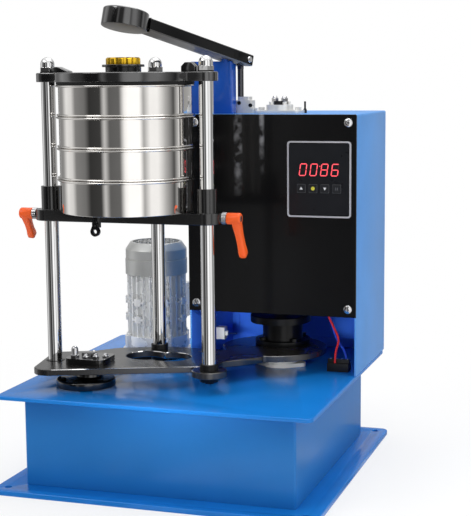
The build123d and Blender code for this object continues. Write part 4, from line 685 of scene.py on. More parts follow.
class Shape:
    """A mesh in the making, in metres in the CAD frame."""

    def __init__(self) -> None:
        """Start with no faces; paint is the material index that new faces take."""
        self.bm = bmesh.new()
        self.paint = 0

    def _face(self, corners: Sequence[bmesh.types.BMVert]) -> None:
        """Add one face in the present paint."""
        face = self.bm.faces.new(corners)
        face.material_index = self.paint
        face.smooth = True

    def skin(self, rings: Sequence[Sequence[Vector]], place: Matrix = Matrix(), closed: bool = False) -> None:
        """Join successive rings of points with faces, and cap open ends.

        Args:
            rings: rings of one count each; a ring of one point is a tip.
            place: where the rings' own frame lies.
            closed: whether the last ring joins the first.
        """
        made = [[self.bm.verts.new(place @ point) for point in ring] for ring in rings]
        pairs = list(zip(made, made[1:])) + ([(made[-1], made[0])] if closed else [])
        for first, second in pairs:
            count = max(len(first), len(second))
            for index in range(count):
                after = (index + 1) % count
                corners = [first[index % len(first)], first[after % len(first)],
                           second[after % len(second)], second[index % len(second)]]
                corners = list(dict.fromkeys(corners))
                if len(corners) > 2:
                    self._face(corners)
        if not closed:
            for ring in (made[0], made[-1]):
                if len(ring) > 2:
                    self._face(ring)

    def lathe(self, profile: Sequence[Point2], place: Matrix, closed: bool = False, steps: int = 96) -> None:
        """Turn an outline of (radius, height) points about the place's Z axis."""
        self.skin([round_ring(radius, height, steps) for radius, height in profile], place, closed)

    def prism(self, outline: Sequence[Point2], low: float, high: float, place: Matrix = Matrix()) -> None:
        """Raise a flat outline from one height to another along the place's Z axis."""
        self.skin([[Vector((*point, level)) for point in outline] for level in (low, high)], place)

    def block(self, low: Sequence[float], high: Sequence[float], place: Matrix = Matrix()) -> None:
        """Add a box between two corners."""
        outline = [(low[0], low[1]), (high[0], low[1]), (high[0], high[1]), (low[0], high[1])]
        self.prism(outline, low[2], high[2], place)

    def band(self, outer: Sequence[Point2], inner: Sequence[Point2], low: float, high: float, place: Matrix) -> None:
        """Add a flat frame between two outlines of equal count."""
        loops = ((outer, low), (outer, high), (inner, high), (inner, low))
        self.skin([[Vector((*point, level)) for point in loop] for loop, level in loops], place, closed=True)

    def acorn(self, across: float, base: float, top: float, place: Matrix, dome: float = 0.0) -> None:
        """Add a hexagon nut with a round cap.

        Args:
            across: half the width over the hexagon's flats.
            base: height of the hexagon's foot or, for a low one, of its top.
            top: height of the cap's top.
            place: where the nut stands.
            dome: the cap's radius, or nothing for one that follows from the hexagon.
        """
        reach = dome or across * 0.85
        waist = top - reach
        foot, hex_top = (base, base + 6 * MM) if dome else (0.0, min(base, waist))
        rings = [round_ring(0, foot, 48), hex_ring(across, foot, 48), hex_ring(across, hex_top, 48),
                 round_ring(reach, hex_top + 0.6 * MM, 48)]
        rings += [round_ring(radius, level, 48) for radius, level in arc((0, waist), (reach, reach), 0, 90, 8)]
        self.skin(rings, place)

    def soften(self, width: float, segments: int = 2, limit: float = 30.0, paint: int = -1) -> None:
        """Bevel every edge that is sharper than a limit.

        Args:
            width: the bevel's width in metres.
            segments: faces across it.
            limit: least angle in degrees.
            paint: material index of the new faces, or -1 to take their neighbours'.
        """
        sharp = [edge for edge in self.bm.edges
                 if len(edge.link_faces) == 2 and edge.calc_face_angle(0.0) > math.radians(limit)]
        bmesh.ops.bevel(self.bm, geom=sharp, offset=width, segments=segments, profile=0.5, affect="EDGES",
                        clamp_overlap=True, material=paint)

    def finish(self, name: str, like: str, finishes: Sequence[str], replaces: Sequence[str] = (),
               crease: float = 35.0) -> bpy.types.Object:
        """Turn the shape into a piece of the object.

        Args:
            name: the piece's name.
            like: the CAD node whose body and material slot it shares.
            finishes: its finishes, by material index.
            replaces: CAD nodes that it stands for.
            crease: angle in degrees above which an edge shows sharp.

        Returns:
            The piece.
        """
        bmesh.ops.recalc_face_normals(self.bm, faces=self.bm.faces)
        mesh = bpy.data.meshes.new(name)
        self.bm.to_mesh(mesh)
        self.bm.free()
        mesh.shade_smooth()
        mesh.set_sharp_from_angle(angle=math.radians(crease))
        piece = bpy.data.objects.new(name, mesh)
        return seat(piece, like, finishes, replaces)


def seat(piece: bpy.types.Object, like: str, finishes: Sequence[str], replaces: Sequence[str]) -> bpy.types.Object:
    """Link a piece, dress it, and let it ride with a CAD node's body.

    Args:
        piece: the new object.
        like: the CAD node whose body and material slot it shares.
        finishes: its finishes, by material index.
        replaces: CAD nodes that it stands for.

    Returns:
        The piece.
    """
    bpy.context.scene.collection.objects.link(piece)
    for finish in finishes:
        piece.data.materials.append(SHELF.get(finish))
    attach(piece, BODY_OF[like])
    if replaces:
        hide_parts(*replaces)
    log.info("made piece %s on body %s", piece.name, BODY_OF[like])
    return piece


@dataclass(frozen=True)
class Edge:
    """Worked edge of a stand-in: width and segments, and a finish for those on its front over a span of x, a painted
    highlight.
    """

    width: float
    segments: int = 2
    finish: str = ""
    lit_span: Point2 = (-1.0, 1.0)

    def shows(self, face: bmesh.types.BMFace) -> bool:
        """Whether an edge's face takes the edge finish: a painted highlight on front-facing edges within the span."""
        return bool(self.finish) and face.normal.y < -0.25 and self.lit_span[0] < face.calc_center_median().x < self.lit_span[1]


def softened(node: str, edge: Edge, other: str = "", chosen: Union[Callable[[bmesh.types.BMFace], bool], None] = None,
             trim: Union[Callable[[Vector], None], None] = None) -> bpy.types.Object:
    """Stand in for a CAD node with the same shape and worked edges.

    Args:
        node: the CAD node.
        edge: how its sharp edges are worked.
        other: finish of the chosen faces, or nothing for the node's own.
        chosen: tells which faces take it.
        trim: moves a corner point in place before the edges are worked.

    Returns:
        The piece.
    """
    shape = Shape()
    shape.bm.from_mesh(frame["nodes"][node].data)
    bmesh.ops.remove_doubles(shape.bm, verts=shape.bm.verts, dist=1e-6)
    bmesh.ops.dissolve_limit(shape.bm, angle_limit=math.radians(0.5), verts=shape.bm.verts, edges=shape.bm.edges)
    for vert in shape.bm.verts if trim else ():
        trim(vert.co)
    for face in shape.bm.faces:
        face.material_index = 0
    shape.soften(edge.width, edge.segments, paint=1)
    shape.bm.normal_update()
    for face in shape.bm.faces:
        if face.material_index == 1 and not edge.shows(face):
            face.material_index = 0
        if chosen and face.material_index == 0 and chosen(face):
            face.material_index = 2
    own = NODE_FINISH[node]
    return shape.finish(f"{node}_worked", node, [own, edge.finish or own, other or own], [node])


def looks_down(face: bmesh.types.BMFace) -> bool:
    """Whether a face is on the underside."""
    return face.normal.z < -0.5


def islands(node: str) -> list[Extent]:
    """Extents of the separate solids in a CAD node."""
    bm = bmesh.new()
    bm.from_mesh(frame["nodes"][node].data)
    bmesh.ops.remove_doubles(bm, verts=bm.verts, dist=1e-6)
    seen: set[bmesh.types.BMVert] = set()
    found = []
    for seed in bm.verts:
        if seed in seen:
            continue
        seen.add(seed)
        waiting, members = [seed], []
        while waiting:
            vert = waiting.pop()
            members.append(vert.co.copy())
            fresh = [edge.other_vert(vert) for edge in vert.link_edges if edge.other_vert(vert) not in seen]
            seen.update(fresh)
            waiting.extend(fresh)
        low = Vector([min(point[axis] for point in members) for axis in range(3)])
        high = Vector([max(point[axis] for point in members) for axis in range(3)])
        found.append(Extent(low, high))
    bm.free()
    return found


# Sub-assemblies


@dataclass
class SieveStack:
    """Receiver pan and sieves: spun steel rings with rolled beads."""

    wall: float = 1.2 * MM
    wall_radius: float = 101.5 * MM
    top_bead: Point2 = (4 * MM, 2.1 * MM)
    foot_bead: Point2 = (3.2 * MM, 1.7 * MM)
    nest_depth: float = 5 * MM
    nest_play: float = 0.3 * MM
    fillet: float = 1.2 * MM

    def bead(self, middle: float, size: Point2) -> list[Point2]:
        """Outline of a rolled bead that stands out from the wall at a height."""
        return arc((self.wall_radius, middle), size, -90, 90, 12)

    def ring(self, node: str, is_pan: bool) -> None:
        """Make one ring in place of its CAD node.

        Args:
            node: the CAD node.
            is_pan: whether it is the closed pan and not a sieve.
        """
        extent = Extent.of(node)
        foot = 0.0 if is_pan else self.nest_depth
        top = extent.size.z
        inner = self.wall_radius - self.wall
        spigot = inner - self.wall - self.nest_play
        outside = [(self.wall_radius, foot + 2 * self.foot_bead[1] + self.fillet),
                   (self.wall_radius, top - 2 * self.top_bead[1] - self.fillet)]
        outside += self.bead(top - self.top_bead[1], self.top_bead)
        if is_pan:
            profile = [(0.0, 0.0)] + arc((self.wall_radius - self.fillet, self.fillet), (self.fillet, self.fillet), -90, 0)
            profile += outside[1:] + [(inner, top), (inner, self.wall), (0.0, self.wall)]
        else:
            profile = [(spigot - self.wall, 0.0), (spigot, 0.0), (spigot, foot)]
            profile += self.bead(foot + self.foot_bead[1], self.foot_bead) + outside
            profile += [(inner, top), (inner, foot + self.top_bead[1]), (spigot - self.wall, foot)]
        shape = Shape()
        place = Matrix.Translation((extent.centre.x, extent.centre.y, extent.low.z))
        shape.lathe(profile, place, closed=not is_pan, steps=160)
        shape.finish(f"{node}_spun", node, ["sieve_steel"], [node], crease=50)

    def build(self) -> None:
        """Make the pan and the three sieves."""
        self.ring("receiver_pan", True)
        for number in (1, 2, 3):
            self.ring(f"sieve_{number}", False)


def seated_pivot(node: str, joint: str, side: int) -> Vector:
    """Point on a lever's axis at its hub's inner face.

    Args:
        node: the lever's CAD node.
        joint: the lever's joint.
        side: 1 on the right, -1 on the left.

    Returns:
        The point.
    """
    lever = Extent.of(node)
    pivot = Vector(next(j["pos_m"] for j in frame["record"]["behaviour"]["joints"] if j["name"] == joint))
    pivot.x = lever.low.x if side > 0 else lever.high.x
    return pivot


@dataclass
class LockingLever:
    """One moulded clamping lever with its hub and cap screw."""

    node: str
    joint: str
    side: int
    swing: float
    hub_radius: float = 8.8 * MM
    hub_length: float = 22 * MM
    reach: float = 64 * MM
    splay: float = 6 * MM
    wing: float = 14.5 * MM

    def outline(self) -> list[tuple[float, float, float]]:
        """Half width and half thickness of the handle at shares of its reach."""
        return [(0.0, 0.58, 0.46), (0.18, 0.52, 0.44), (0.45, 0.42, 0.38), (0.68, 0.41, 0.38), (0.84, 0.49, 0.42),
                (0.94, 0.48, 0.40), (0.985, 0.34, 0.28), (1.0, 0.12, 0.10)]

    def build(self) -> None:
        """Make the lever in place of its CAD node."""
        pivot = seated_pivot(self.node, self.joint, self.side)
        angle = math.radians(self.swing)
        down = Vector((self.side * self.splay, self.reach * math.sin(angle), -self.reach * math.cos(angle))).normalized()
        outward = Vector((self.side, 0, 0))
        across = down.cross(outward).normalized()
        thick = across.cross(down).normalized()
        root = pivot + outward * (self.hub_length - self.wing * 0.46 - 1.5 * MM)
        shape = Shape()
        self.hub(shape, standing(pivot, outward))
        turn = Matrix((across, thick, down)).transposed().to_4x4()
        rings = [self.section(share * self.reach, half * self.wing, deep * self.wing)
                 for share, half, deep in self.outline()]
        shape.skin(rings, Matrix.Translation(root) @ turn)
        shape.finish(f"{self.node}_moulded", self.node, ["orange_plastic"], [self.node], crease=60)
        self.screw(standing(pivot, outward))

    @staticmethod
    def section(along: float, half: float, deep: float) -> list[Vector]:
        """Rounded rectangle across the handle at a distance along it."""
        outline = frame_outline(2 * half, 2 * deep, 0.55 * min(half, deep), 4)
        return [Vector((*point, along)) for point in outline]

    def hub(self, shape: Shape, place: Matrix) -> None:
        """Add the round hub with its rolled outer end and the recess for the screw."""
        radius, length, roll = self.hub_radius, self.hub_length, 2.4 * MM
        profile = [(5.0 * MM, 0.4 * MM), (radius - 0.8 * MM, 0.4 * MM), (radius, 1.2 * MM), (radius, length - roll)]
        profile += arc((radius - roll, length - roll), (roll, roll), 0, 90)[1:]
        profile += [(5.2 * MM, length), (5.0 * MM, length - 0.5 * MM)]
        shape.lathe(profile, place, closed=True, steps=64)

    def screw(self, place: Matrix) -> None:
        """Add the steel cap screw in the hub's outer end."""
        top = self.hub_length - 0.2 * MM
        floor = top - 3 * MM
        rings = [round_ring(0, floor, 48), hex_ring(2.0 * MM, floor, 48), hex_ring(2.0 * MM, top, 48),
                 round_ring(4.2 * MM, top, 48), round_ring(4.8 * MM, top - 0.6 * MM, 48), round_ring(4.8 * MM, floor, 48)]
        shape = Shape()
        shape.skin(rings, place)
        shape.finish(f"{self.node}_screw", self.node, ["bright_steel"])


@dataclass
class Stage:
    """Support stage: worked edges, and knurled collars beside the levers."""

    edge: float = 0.8 * MM
    collar_radius: float = 8.9 * MM
    collar_length: float = 6.8 * MM
    knurls: int = 24

    def collar(self, name: str, pivot: Vector, side: int) -> None:
        """Make one knurled steel collar between the stage and a lever.

        Args:
            name: the piece's name.
            pivot: the lever's pivot at the hub's inner face.
            side: 1 on the right, -1 on the left.
        """
        inner = 7.0 * MM
        steps = self.knurls * 4
        def tooth(radius: float, height: float) -> list[Vector]:
            """Knurled ring at a height."""
            ring = round_ring(radius, height, steps)
            return [Vector((p.x, p.y, 0)) * (1 - 0.05 * (index % 4 > 1)) + Vector((0, 0, p.z))
                    for index, p in enumerate(ring)]
        place = standing(pivot - Vector((side * self.collar_length, 0, 0)), (side, 0, 0))
        shape = Shape()
        shape.skin([round_ring(inner, 0, steps), tooth(self.collar_radius, 0),
                    tooth(self.collar_radius, self.collar_length - 0.2 * MM),
                    round_ring(inner, self.collar_length - 0.2 * MM, steps)], place, closed=True)
        shape.finish(name, "support_stage", ["bright_steel"])

    def build(self) -> None:
        """Make the stage and both collars."""
        softened("support_stage", Edge(self.edge))
        self.collar("collar_left", seated_pivot("lever_left", "lever_left_turn", -1), -1)
        self.collar("collar_right", seated_pivot("lever_right", "lever_right_turn", 1), 1)


@dataclass
class Motor:
    """Finned motor: spun fan cover with a grille, lug nuts, pads and a dark base ring."""

    cover_radius: float = 53.4 * MM
    grille_radius: float = 40.5 * MM
    bar_count: int = 18
    bar_width: float = 2.2 * MM
    hub_radius: float = 11 * MM
    sheet: float = 1.5 * MM
    cover_rise: float = 6 * MM
    shoulder: float = 41 * MM

    def build(self) -> None:
        """Make the fan cover and the fittings round the body."""
        extent = Extent.of("fan_cover")
        self.axis = Vector((extent.centre.x, extent.centre.y, 0))
        self.cover(extent)
        self.fittings(Extent.of("motor_body"))

    def cover(self, extent: Extent) -> None:
        """Make the spun cover with its groove, shoulder and grille."""
        radius, height, sheet = self.cover_radius, extent.size.z + self.cover_rise, self.sheet
        groove = 26 * MM
        profile = [(radius, 0.0), (radius, groove - 0.6 * MM), (radius - 1.3 * MM, groove),
                   (radius - 1.3 * MM, groove + 1.2 * MM), (radius - 0.7 * MM, groove + 1.8 * MM),
                   (radius - 0.7 * MM, self.shoulder)]
        profile += arc((radius - 4.7 * MM, self.shoulder), (4 * MM, 4 * MM), 0, 40, 5)[1:]
        profile += arc((self.grille_radius + 1.5 * MM, height - 4 * MM), (4 * MM, 4 * MM), 45, 90, 5)
        profile += [(self.grille_radius, height), (self.grille_radius, height - sheet),
                    (self.grille_radius + 1.5 * MM, height - 1.6 * sheet), (radius - 0.7 * MM - sheet, self.shoulder),
                    (radius - sheet, 0.0)]
        place = Matrix.Translation(Vector((self.axis.x, self.axis.y, extent.low.z)))
        shape = Shape()
        shape.lathe(profile, place, closed=True, steps=128)
        low, high = height - sheet, height - 0.2 * MM
        shape.lathe([(0, low), (self.hub_radius, low), (self.hub_radius, high), (0, high + 0.1 * MM)], place, steps=64)
        for middle in (20.5 * MM, 30.5 * MM):
            ring = [(middle - 1.1 * MM, low), (middle + 1.1 * MM, low), (middle + 1.1 * MM, high), (middle - 1.1 * MM, high)]
            shape.lathe(ring, place, closed=True, steps=96)
        for index in range(self.bar_count):
            turn = Matrix.Rotation(2 * math.pi * index / self.bar_count, 4, "Z")
            shape.block((self.hub_radius - MM, -self.bar_width / 2, low), (self.grille_radius + MM, self.bar_width / 2, high),
                        place @ turn)
        shape.finish("fan_cover_spun", "fan_cover", ["fan_casting"], ["fan_cover"], crease=28)

    def fittings(self, body: Extent) -> None:
        """Add the lug nuts, the pads on the fins, the flange screws and the dark ring under them."""
        base = body.low.z + 6 * MM
        shape = Shape()
        for angle in (45, 135, 225, 315):
            turn = Matrix.Rotation(math.radians(angle), 4, "Z")
            lug = Matrix.Translation(self.axis + Vector((0, 0, base + 38 * MM))) @ turn @ Matrix.Translation((53 * MM, 0, 0))
            shape.skin([hex_ring(4.2 * MM, 0, 48), hex_ring(4.2 * MM, 3.4 * MM, 48), round_ring(3.4 * MM, 4.2 * MM, 48),
                        round_ring(2.2 * MM, 4.4 * MM, 48), round_ring(2.0 * MM, 6.4 * MM, 48), round_ring(0, 6.6 * MM, 48)], lug)
        for angle in (198, 252, 306, 350):
            turn = Matrix.Rotation(math.radians(angle), 4, "Z")
            for height in (62 * MM, 92 * MM):
                pad = Matrix.Translation(self.axis + Vector((0, 0, base + height))) @ turn
                shape.prism(frame_outline(7 * MM, 13 * MM, 1.5 * MM, 3), 0, 12 * MM,
                            pad @ Matrix.Translation((50.5 * MM, 0, 0)))
                shape.prism(frame_outline(5 * MM, 26 * MM, 1.2 * MM, 3), 4.5 * MM, 7.5 * MM,
                            pad @ Matrix.Translation((50.5 * MM, 0, 0)))
        for angle in (0, 60, 120, 180, 240, 300):
            turn = Matrix.Rotation(math.radians(angle), 4, "Z")
            spot = Matrix.Translation(self.axis + Vector((0, 0, base + 12 * MM))) @ turn @ Matrix.Translation((56.9 * MM, 0, 0))
            shape.skin([round_ring(2.8 * MM, 0, 32), round_ring(2.8 * MM, 2.6 * MM, 32), round_ring(2.0 * MM, 3.2 * MM, 32),
                        round_ring(0, 3.2 * MM, 32)], spot)
        shape.soften(0.3 * MM, 1)
        shape.finish("motor_fittings", "motor_body", ["motor_casting"])
        ring = Shape()
        outer, inner = 60.3 * MM, 59.7 * MM
        profile = [(inner, 0.2 * MM), (outer, 0.2 * MM), (outer, 8 * MM), (outer - 0.4 * MM, 8.6 * MM), (inner, 8.6 * MM)]
        ring.lathe(profile, Matrix.Translation(self.axis + Vector((0, 0, base))), closed=True, steps=128)
        ring.finish("motor_ring", "motor_body", ["black_satin"])


@dataclass
class Carriage:
    """Orbiting plate and what stands on it, with worked edges."""

    plate_edge: float = 0.9 * MM
    fine_edge: float = 0.6 * MM
    highlight_span: Point2 = (-125 * MM, 40 * MM)
    lobe_start: float = -222 * MM
    lobe_share: float = 0.3
    foot_top: float = 190.4 * MM
    left_of_middle: float = 150 * MM
    flange_size: Point3 = (66 * MM, 56 * MM, 9 * MM)
    flange_shift: Point2 = (4 * MM, -5 * MM)
    flange_bend: float = 10 * MM
    nut_across: float = 11 * MM
    nut_dome: float = 10.8 * MM

    def build(self) -> None:
        """Make the worked pieces of the carriage."""
        # Bright steel on the plate's front edges within the span only: a painted highlight.
        softened("moving_plate", Edge(self.plate_edge, 1, "bright_steel", self.highlight_span), trim=self.shorten)
        softened("pillar_feet", Edge(self.fine_edge), trim=self.flatten)
        for node in ("main_flange", "left_crank", "plug_collar", "tapping_plug", "cover_clamps"):
            softened(node, Edge(self.fine_edge))
        softened("top_cover", Edge(self.plate_edge))
        self.flange(Extent.of("crank_flange"))
        self.nuts()

    def shorten(self, point: Vector) -> None:
        """Draw the plate's left lobe in."""
        if point.x < self.lobe_start:
            point.x = self.lobe_start + (point.x - self.lobe_start) * self.lobe_share

    def flatten(self, point: Vector) -> None:
        """Draw the left foot's collar down, so that the pillar stands on the plate."""
        if point.x < -self.left_of_middle:
            point.z = min(point.z, self.foot_top)

    def flange(self, extent: Extent) -> None:
        """Make the plate over the crank pin, with its tall nut and three low bolts."""
        width, depth, thick = self.flange_size
        across, along = self.flange_shift
        place = Matrix.Translation(Vector((extent.centre.x + across, extent.centre.y + along, extent.low.z)))
        plate = Shape()
        plate.prism(frame_outline(width, depth, self.flange_bend), 0, thick, place)
        plate.soften(self.fine_edge)
        plate.finish("crank_flange_plate", "crank_flange", ["black_gloss"], ["crank_flange"])
        bolts = Shape()
        for spot, rise in (((-20, -14), 18), ((-2, -12), 6), ((14, -10), 7), ((25, 2), 6), ((-2, 18), 6)):
            here = place @ Matrix.Translation(Vector((*spot, 0)) * MM + Vector((0, 0, thick)))
            bolts.acorn((6.5 if rise > 10 else 5.0) * MM, 4 * MM, rise * MM, here)
        bolts.finish("crank_bolts", "crank_flange", ["bright_steel"])

    def nuts(self) -> None:
        """Make the domed nuts on the pillars, each on its washer."""
        nuts, washers = Shape(), Shape()
        for extent in islands("pillar_nuts"):
            place = Matrix.Translation(Vector((extent.centre.x, extent.centre.y, extent.low.z)))
            washers.lathe([(0, 0), (11.8 * MM, 0), (11.8 * MM, 2 * MM), (0, 2 * MM)], place, steps=48)
            nuts.acorn(self.nut_across, 2 * MM, extent.size.z - 3 * MM, place, self.nut_dome)
        nuts.finish("pillar_nuts_domed", "pillar_nuts", ["chrome"], ["pillar_nuts"])
        washers.finish("pillar_washers", "pillar_nuts", ["black_satin"])


@dataclass
class Arm:
    """Tapping arm and its weight, with worked edges and a painted reflection of the floor on their undersides."""

    edge: float = 1.0 * MM
    rod_bore: float = 6.5 * MM

    def build(self) -> None:
        """Make the arm, the weight, the post and the roof fittings."""
        for node in ("tapping_arm", "arm_weight"):
            # Faces that look down take a grey: painted reflection of the lit floor.
            softened(node, Edge(self.edge), "underside_reflection", looks_down)
        softened("hammer_post", Edge(self.edge))
        for node in ("upper_bearing", "tail_bolt"):
            softened(node, Edge(self.edge * 0.5))
        self.guide(Extent.of("rod_guide"))
        self.roof_bolts(Extent.of("upper_bearing"))

    def guide(self, extent: Extent) -> None:
        """Make the stepped block that guides the rod, with a dark clamp screw and a dark disc that stands for a hole as
        painted shade.
        """
        place = Matrix.Translation(Vector((extent.centre.x, extent.centre.y, extent.low.z)))
        width, depth, height = extent.size
        bore = arc((0, 0), (self.rod_bore, self.rod_bore), 0, 360 * 27 / 28, 27)
        block = Shape()
        low = 0.0
        for across, along, high in ((1.0, 1.0, 0.3), (0.8, 0.92, 0.78), (0.55, 0.8, 1.0)):
            outline = frame_outline(width * across, depth * along, 3.5 * MM)
            block.band(outline, bore, low, high * height, place)
            low = high * height
        block.soften(1.2 * MM)
        block.finish("rod_guide_block", "rod_guide", ["pale_casting"], ["rod_guide"])
        dark_discs = Shape()
        # The left disc is painted shade standing for a hole; the right one is a dark clamp screw.
        for right, rise in ((-7 * MM, 17 * MM), (12.5 * MM, 13 * MM)):
            spot = standing(place @ Vector((right, -depth * 0.44, rise)), (0, -1, 0))
            dark_discs.lathe([(0, 0), (3.2 * MM, 0), (3.2 * MM, 1.6 * MM), (1.6 * MM, 1.2 * MM), (0, 1.2 * MM)], spot, steps=32)
        dark_discs.finish("rod_guide_screw_and_hole_shade", "rod_guide", ["black_satin"])

    def roof_bolts(self, extent: Extent) -> None:
        """Add the two bolts over the upper bearing and the pin beside it."""
        shape = Shape()
        for right in (-8 * MM, 8 * MM):
            shape.acorn(5 * MM, 5.5 * MM, 10 * MM, Matrix.Translation(extent.centre + Vector((right, 0, extent.size.z / 2))))
        shape.finish("roof_bolts", "upper_bearing", ["bright_steel"])
        pin = Shape()
        foot = Vector((extent.high.x, extent.high.y - 5 * MM, extent.low.z))
        pin.lathe([(0, 0), (3 * MM, 0), (3 * MM, 5 * MM), (1.6 * MM, 8 * MM), (1.6 * MM, 19 * MM), (0, 19 * MM)],
                  Matrix.Translation(foot), steps=32)
        pin.finish("roof_pin", "upper_bearing", ["dark_casting"])


@dataclass
class Base:
    """Base plate, folded box, deck and hatch, with the soft edges of painted sheet."""

    plate_edge: float = 1.2 * MM
    fold: float = 1.6 * MM

    def build(self) -> None:
        """Make the painted sheet work."""
        for node, width in (("base_plate", self.plate_edge), ("base_walls", self.fold), ("deck", self.plate_edge),
                            ("base_hatch", self.plate_edge * 0.5)):
            softened(node, Edge(width))


@dataclass
class Housing:
    """Screw heads on the panel, the rear cover and the hatch."""

    head_radius: float = 7 * MM
    fold: float = 0.8 * MM
    rim: float = 0.7 * MM
    socket: float = 2.4 * MM
    socket_depth: float = 1.6 * MM

    @staticmethod
    def looks_in(face: bmesh.types.BMFace) -> bool:
        """Whether a face of the shell looks into the housing."""
        return face.normal.dot(Extent.of("housing_shell").centre - face.calc_center_median()) > 0.02

    def build(self) -> None:
        """Make the shell, and every domed screw in place of the CAD discs."""
        # Faces that look into the housing, and the rear cover's inner face, take the brighter blue: painted light in
        # the shaded bay.
        softened("housing_shell", Edge(self.fold), "bay_painted_light", self.looks_in)
        softened("rear_cover", Edge(self.fold), "bay_painted_light", lambda face: face.normal.y < -0.5)
        shape = Shape()
        middle = Extent.of("housing_shell").centre.y
        for extent in islands("cover_screws"):
            outward = 1 if extent.centre.y > middle else -1
            foot = extent.low.y if outward > 0 else extent.high.y
            self.screw(shape, standing((extent.centre.x, foot, extent.centre.z), (0, outward, 0)), extent.size.y)
        shape.finish("cover_screws_domed", "cover_screws", ["bright_steel"], ["cover_screws"])

    def screw(self, shape: Shape, place: Matrix, height: float) -> None:
        """Add one domed head with a hexagon socket."""
        top = height - 0.02 * MM
        floor = top - self.socket_depth
        rings = [round_ring(0, floor, 48), hex_ring(self.socket, floor, 48), hex_ring(self.socket, top, 48)]
        for radius, level in arc((0, self.rim), (self.head_radius, top - self.rim), 62, 0, 8):
            rings.append(round_ring(radius, level, 48))
        rings.append(round_ring(self.head_radius, 0, 48))
        shape.skin(rings, place)


SEGMENTS = {"0": "abcdef", "6": "acdefg", "8": "abcdefg"}


@dataclass
class Display:
    """Lit digits, key frames and key marks on the display face."""

    digits: str = "0086"
    digit_pitch: float = 17.4 * MM
    digit_size: Point2 = (10.3 * MM, 18.4 * MM)
    stroke: float = 1.5 * MM
    slant: float = 0.14
    ink: float = 0.25 * MM
    digits_drop: float = 0.365
    frame_width: float = 13.8 * MM
    bezel_line: float = 2.5 * MM

    def bars(self) -> dict[str, list[Point2]]:
        """Outlines of the seven bars round a digit's middle."""
        width, height = self.digit_size
        half, gap = self.stroke / 2, 0.35 * MM
        across, up = width / 2, height / 4
        level = [(-across + gap, 0), (-across + gap + half, half), (across - gap - half, half), (across - gap, 0),
                 (across - gap - half, -half), (-across + gap + half, -half)]
        upright = [(0, -up + gap), (half, -up + gap + half), (half, up - gap - half), (0, up - gap),
                   (-half, up - gap - half), (-half, -up + gap + half)]
        moves = {"a": (level, 0, 2 * up), "g": (level, 0, 0), "d": (level, 0, -2 * up),
                 "f": (upright, -across, up), "b": (upright, across, up),
                 "e": (upright, -across, -up), "c": (upright, across, -up)}
        bars = {}
        for key, (outline, right, rise) in moves.items():
            points = [(x + right, y + rise) for x, y in outline]
            bars[key] = [(x + y * self.slant, y) for x, y in points]
        return bars

    def build(self) -> None:
        """Make the digits and the key marks."""
        face = Extent.of("display_face")
        front = face.low.y
        row = face.high.z - self.digits_drop * face.size.z
        lit, dark = Shape(), Shape()
        for index, digit in enumerate(self.digits):
            spot = face.centre.x + (index - 1.5) * self.digit_pitch
            place = Matrix.Translation((spot, front, row)) @ FACING_FRONT
            for key, outline in self.bars().items():
                (lit if key in SEGMENTS[digit] else dark).prism(outline, 0, self.ink, place)
        dot = Matrix.Translation((face.centre.x + 1.6 * MM, front, row + 5.5 * MM)) @ FACING_FRONT
        lit.prism(arc((0, 0), (0.9 * MM, 0.9 * MM), 0, 330, 11), 0, self.ink, dot)
        lit.finish("digits_lit", "display_face", ["red_glow"])
        dark.finish("digits_dark", "display_face", ["dim_segment"])
        self.keys(front)
        self.bezel(Extent.of("display_bezel"))

    def bezel(self, extent: Extent) -> None:
        """Make the narrow light frame round the face."""
        shape = Shape()
        width, height, line = extent.size.x, extent.size.z, 2 * self.bezel_line
        place = Matrix.Translation((extent.centre.x, extent.high.y, extent.centre.z)) @ FACING_FRONT
        shape.band(frame_outline(width, height, 5 * MM), frame_outline(width - line, height - line, 3.2 * MM),
                   0, extent.size.y, place)
        shape.soften(0.5 * MM)
        shape.finish("display_bezel_frame", "display_bezel", ["bezel_plastic"], ["display_bezel"])

    def keys(self, front: float) -> None:
        """Add a frame round each key and a mark on it."""
        frames = Shape()
        side = self.frame_width
        for node, mark in (("key_up", self.triangle(1)), ("key_mode", self.round_mark()),
                           ("key_down", self.triangle(-1)), ("key_start", self.bar_mark())):
            key = Extent.of(node)
            place = Matrix.Translation((key.centre.x, front, key.centre.z)) @ FACING_FRONT
            frames.band(frame_outline(side, side, 1.5 * MM, 3), frame_outline(side - 0.8 * MM, side - 0.8 * MM, 1.2 * MM, 3),
                        0, self.ink, place)
            shape = Shape()
            on_key = Matrix.Translation((key.centre.x, key.low.y, key.centre.z)) @ FACING_FRONT
            for outline in mark:
                shape.prism(outline, 0, self.ink * 0.6, on_key)
            ink = {"key_mode": "yellow_ink", "key_start": "grey_ink"}.get(node, "white_ink")
            shape.finish(f"{node}_mark", node, [ink])
        frames.finish("key_frames", "display_face", ["grey_ink"])

    @staticmethod
    def triangle(way: int) -> list[list[Point2]]:
        """A small arrowhead that points up or down."""
        return [[(-2.6 * MM, -1.8 * MM * way), (2.6 * MM, -1.8 * MM * way), (0, 2.6 * MM * way)]]

    @staticmethod
    def round_mark() -> list[list[Point2]]:
        """A round spot."""
        return [arc((0, 0), (3 * MM, 3 * MM), 0, 345, 23)]

    @staticmethod
    def bar_mark() -> list[list[Point2]]:
        """Two short bars."""
        return [[(x - 0.5 * MM, -2.2 * MM), (x + 0.5 * MM, -2.2 * MM), (x + 0.5 * MM, 2.2 * MM), (x - 0.5 * MM, 2.2 * MM)]
                for x in (-1.4 * MM, 1.4 * MM)]


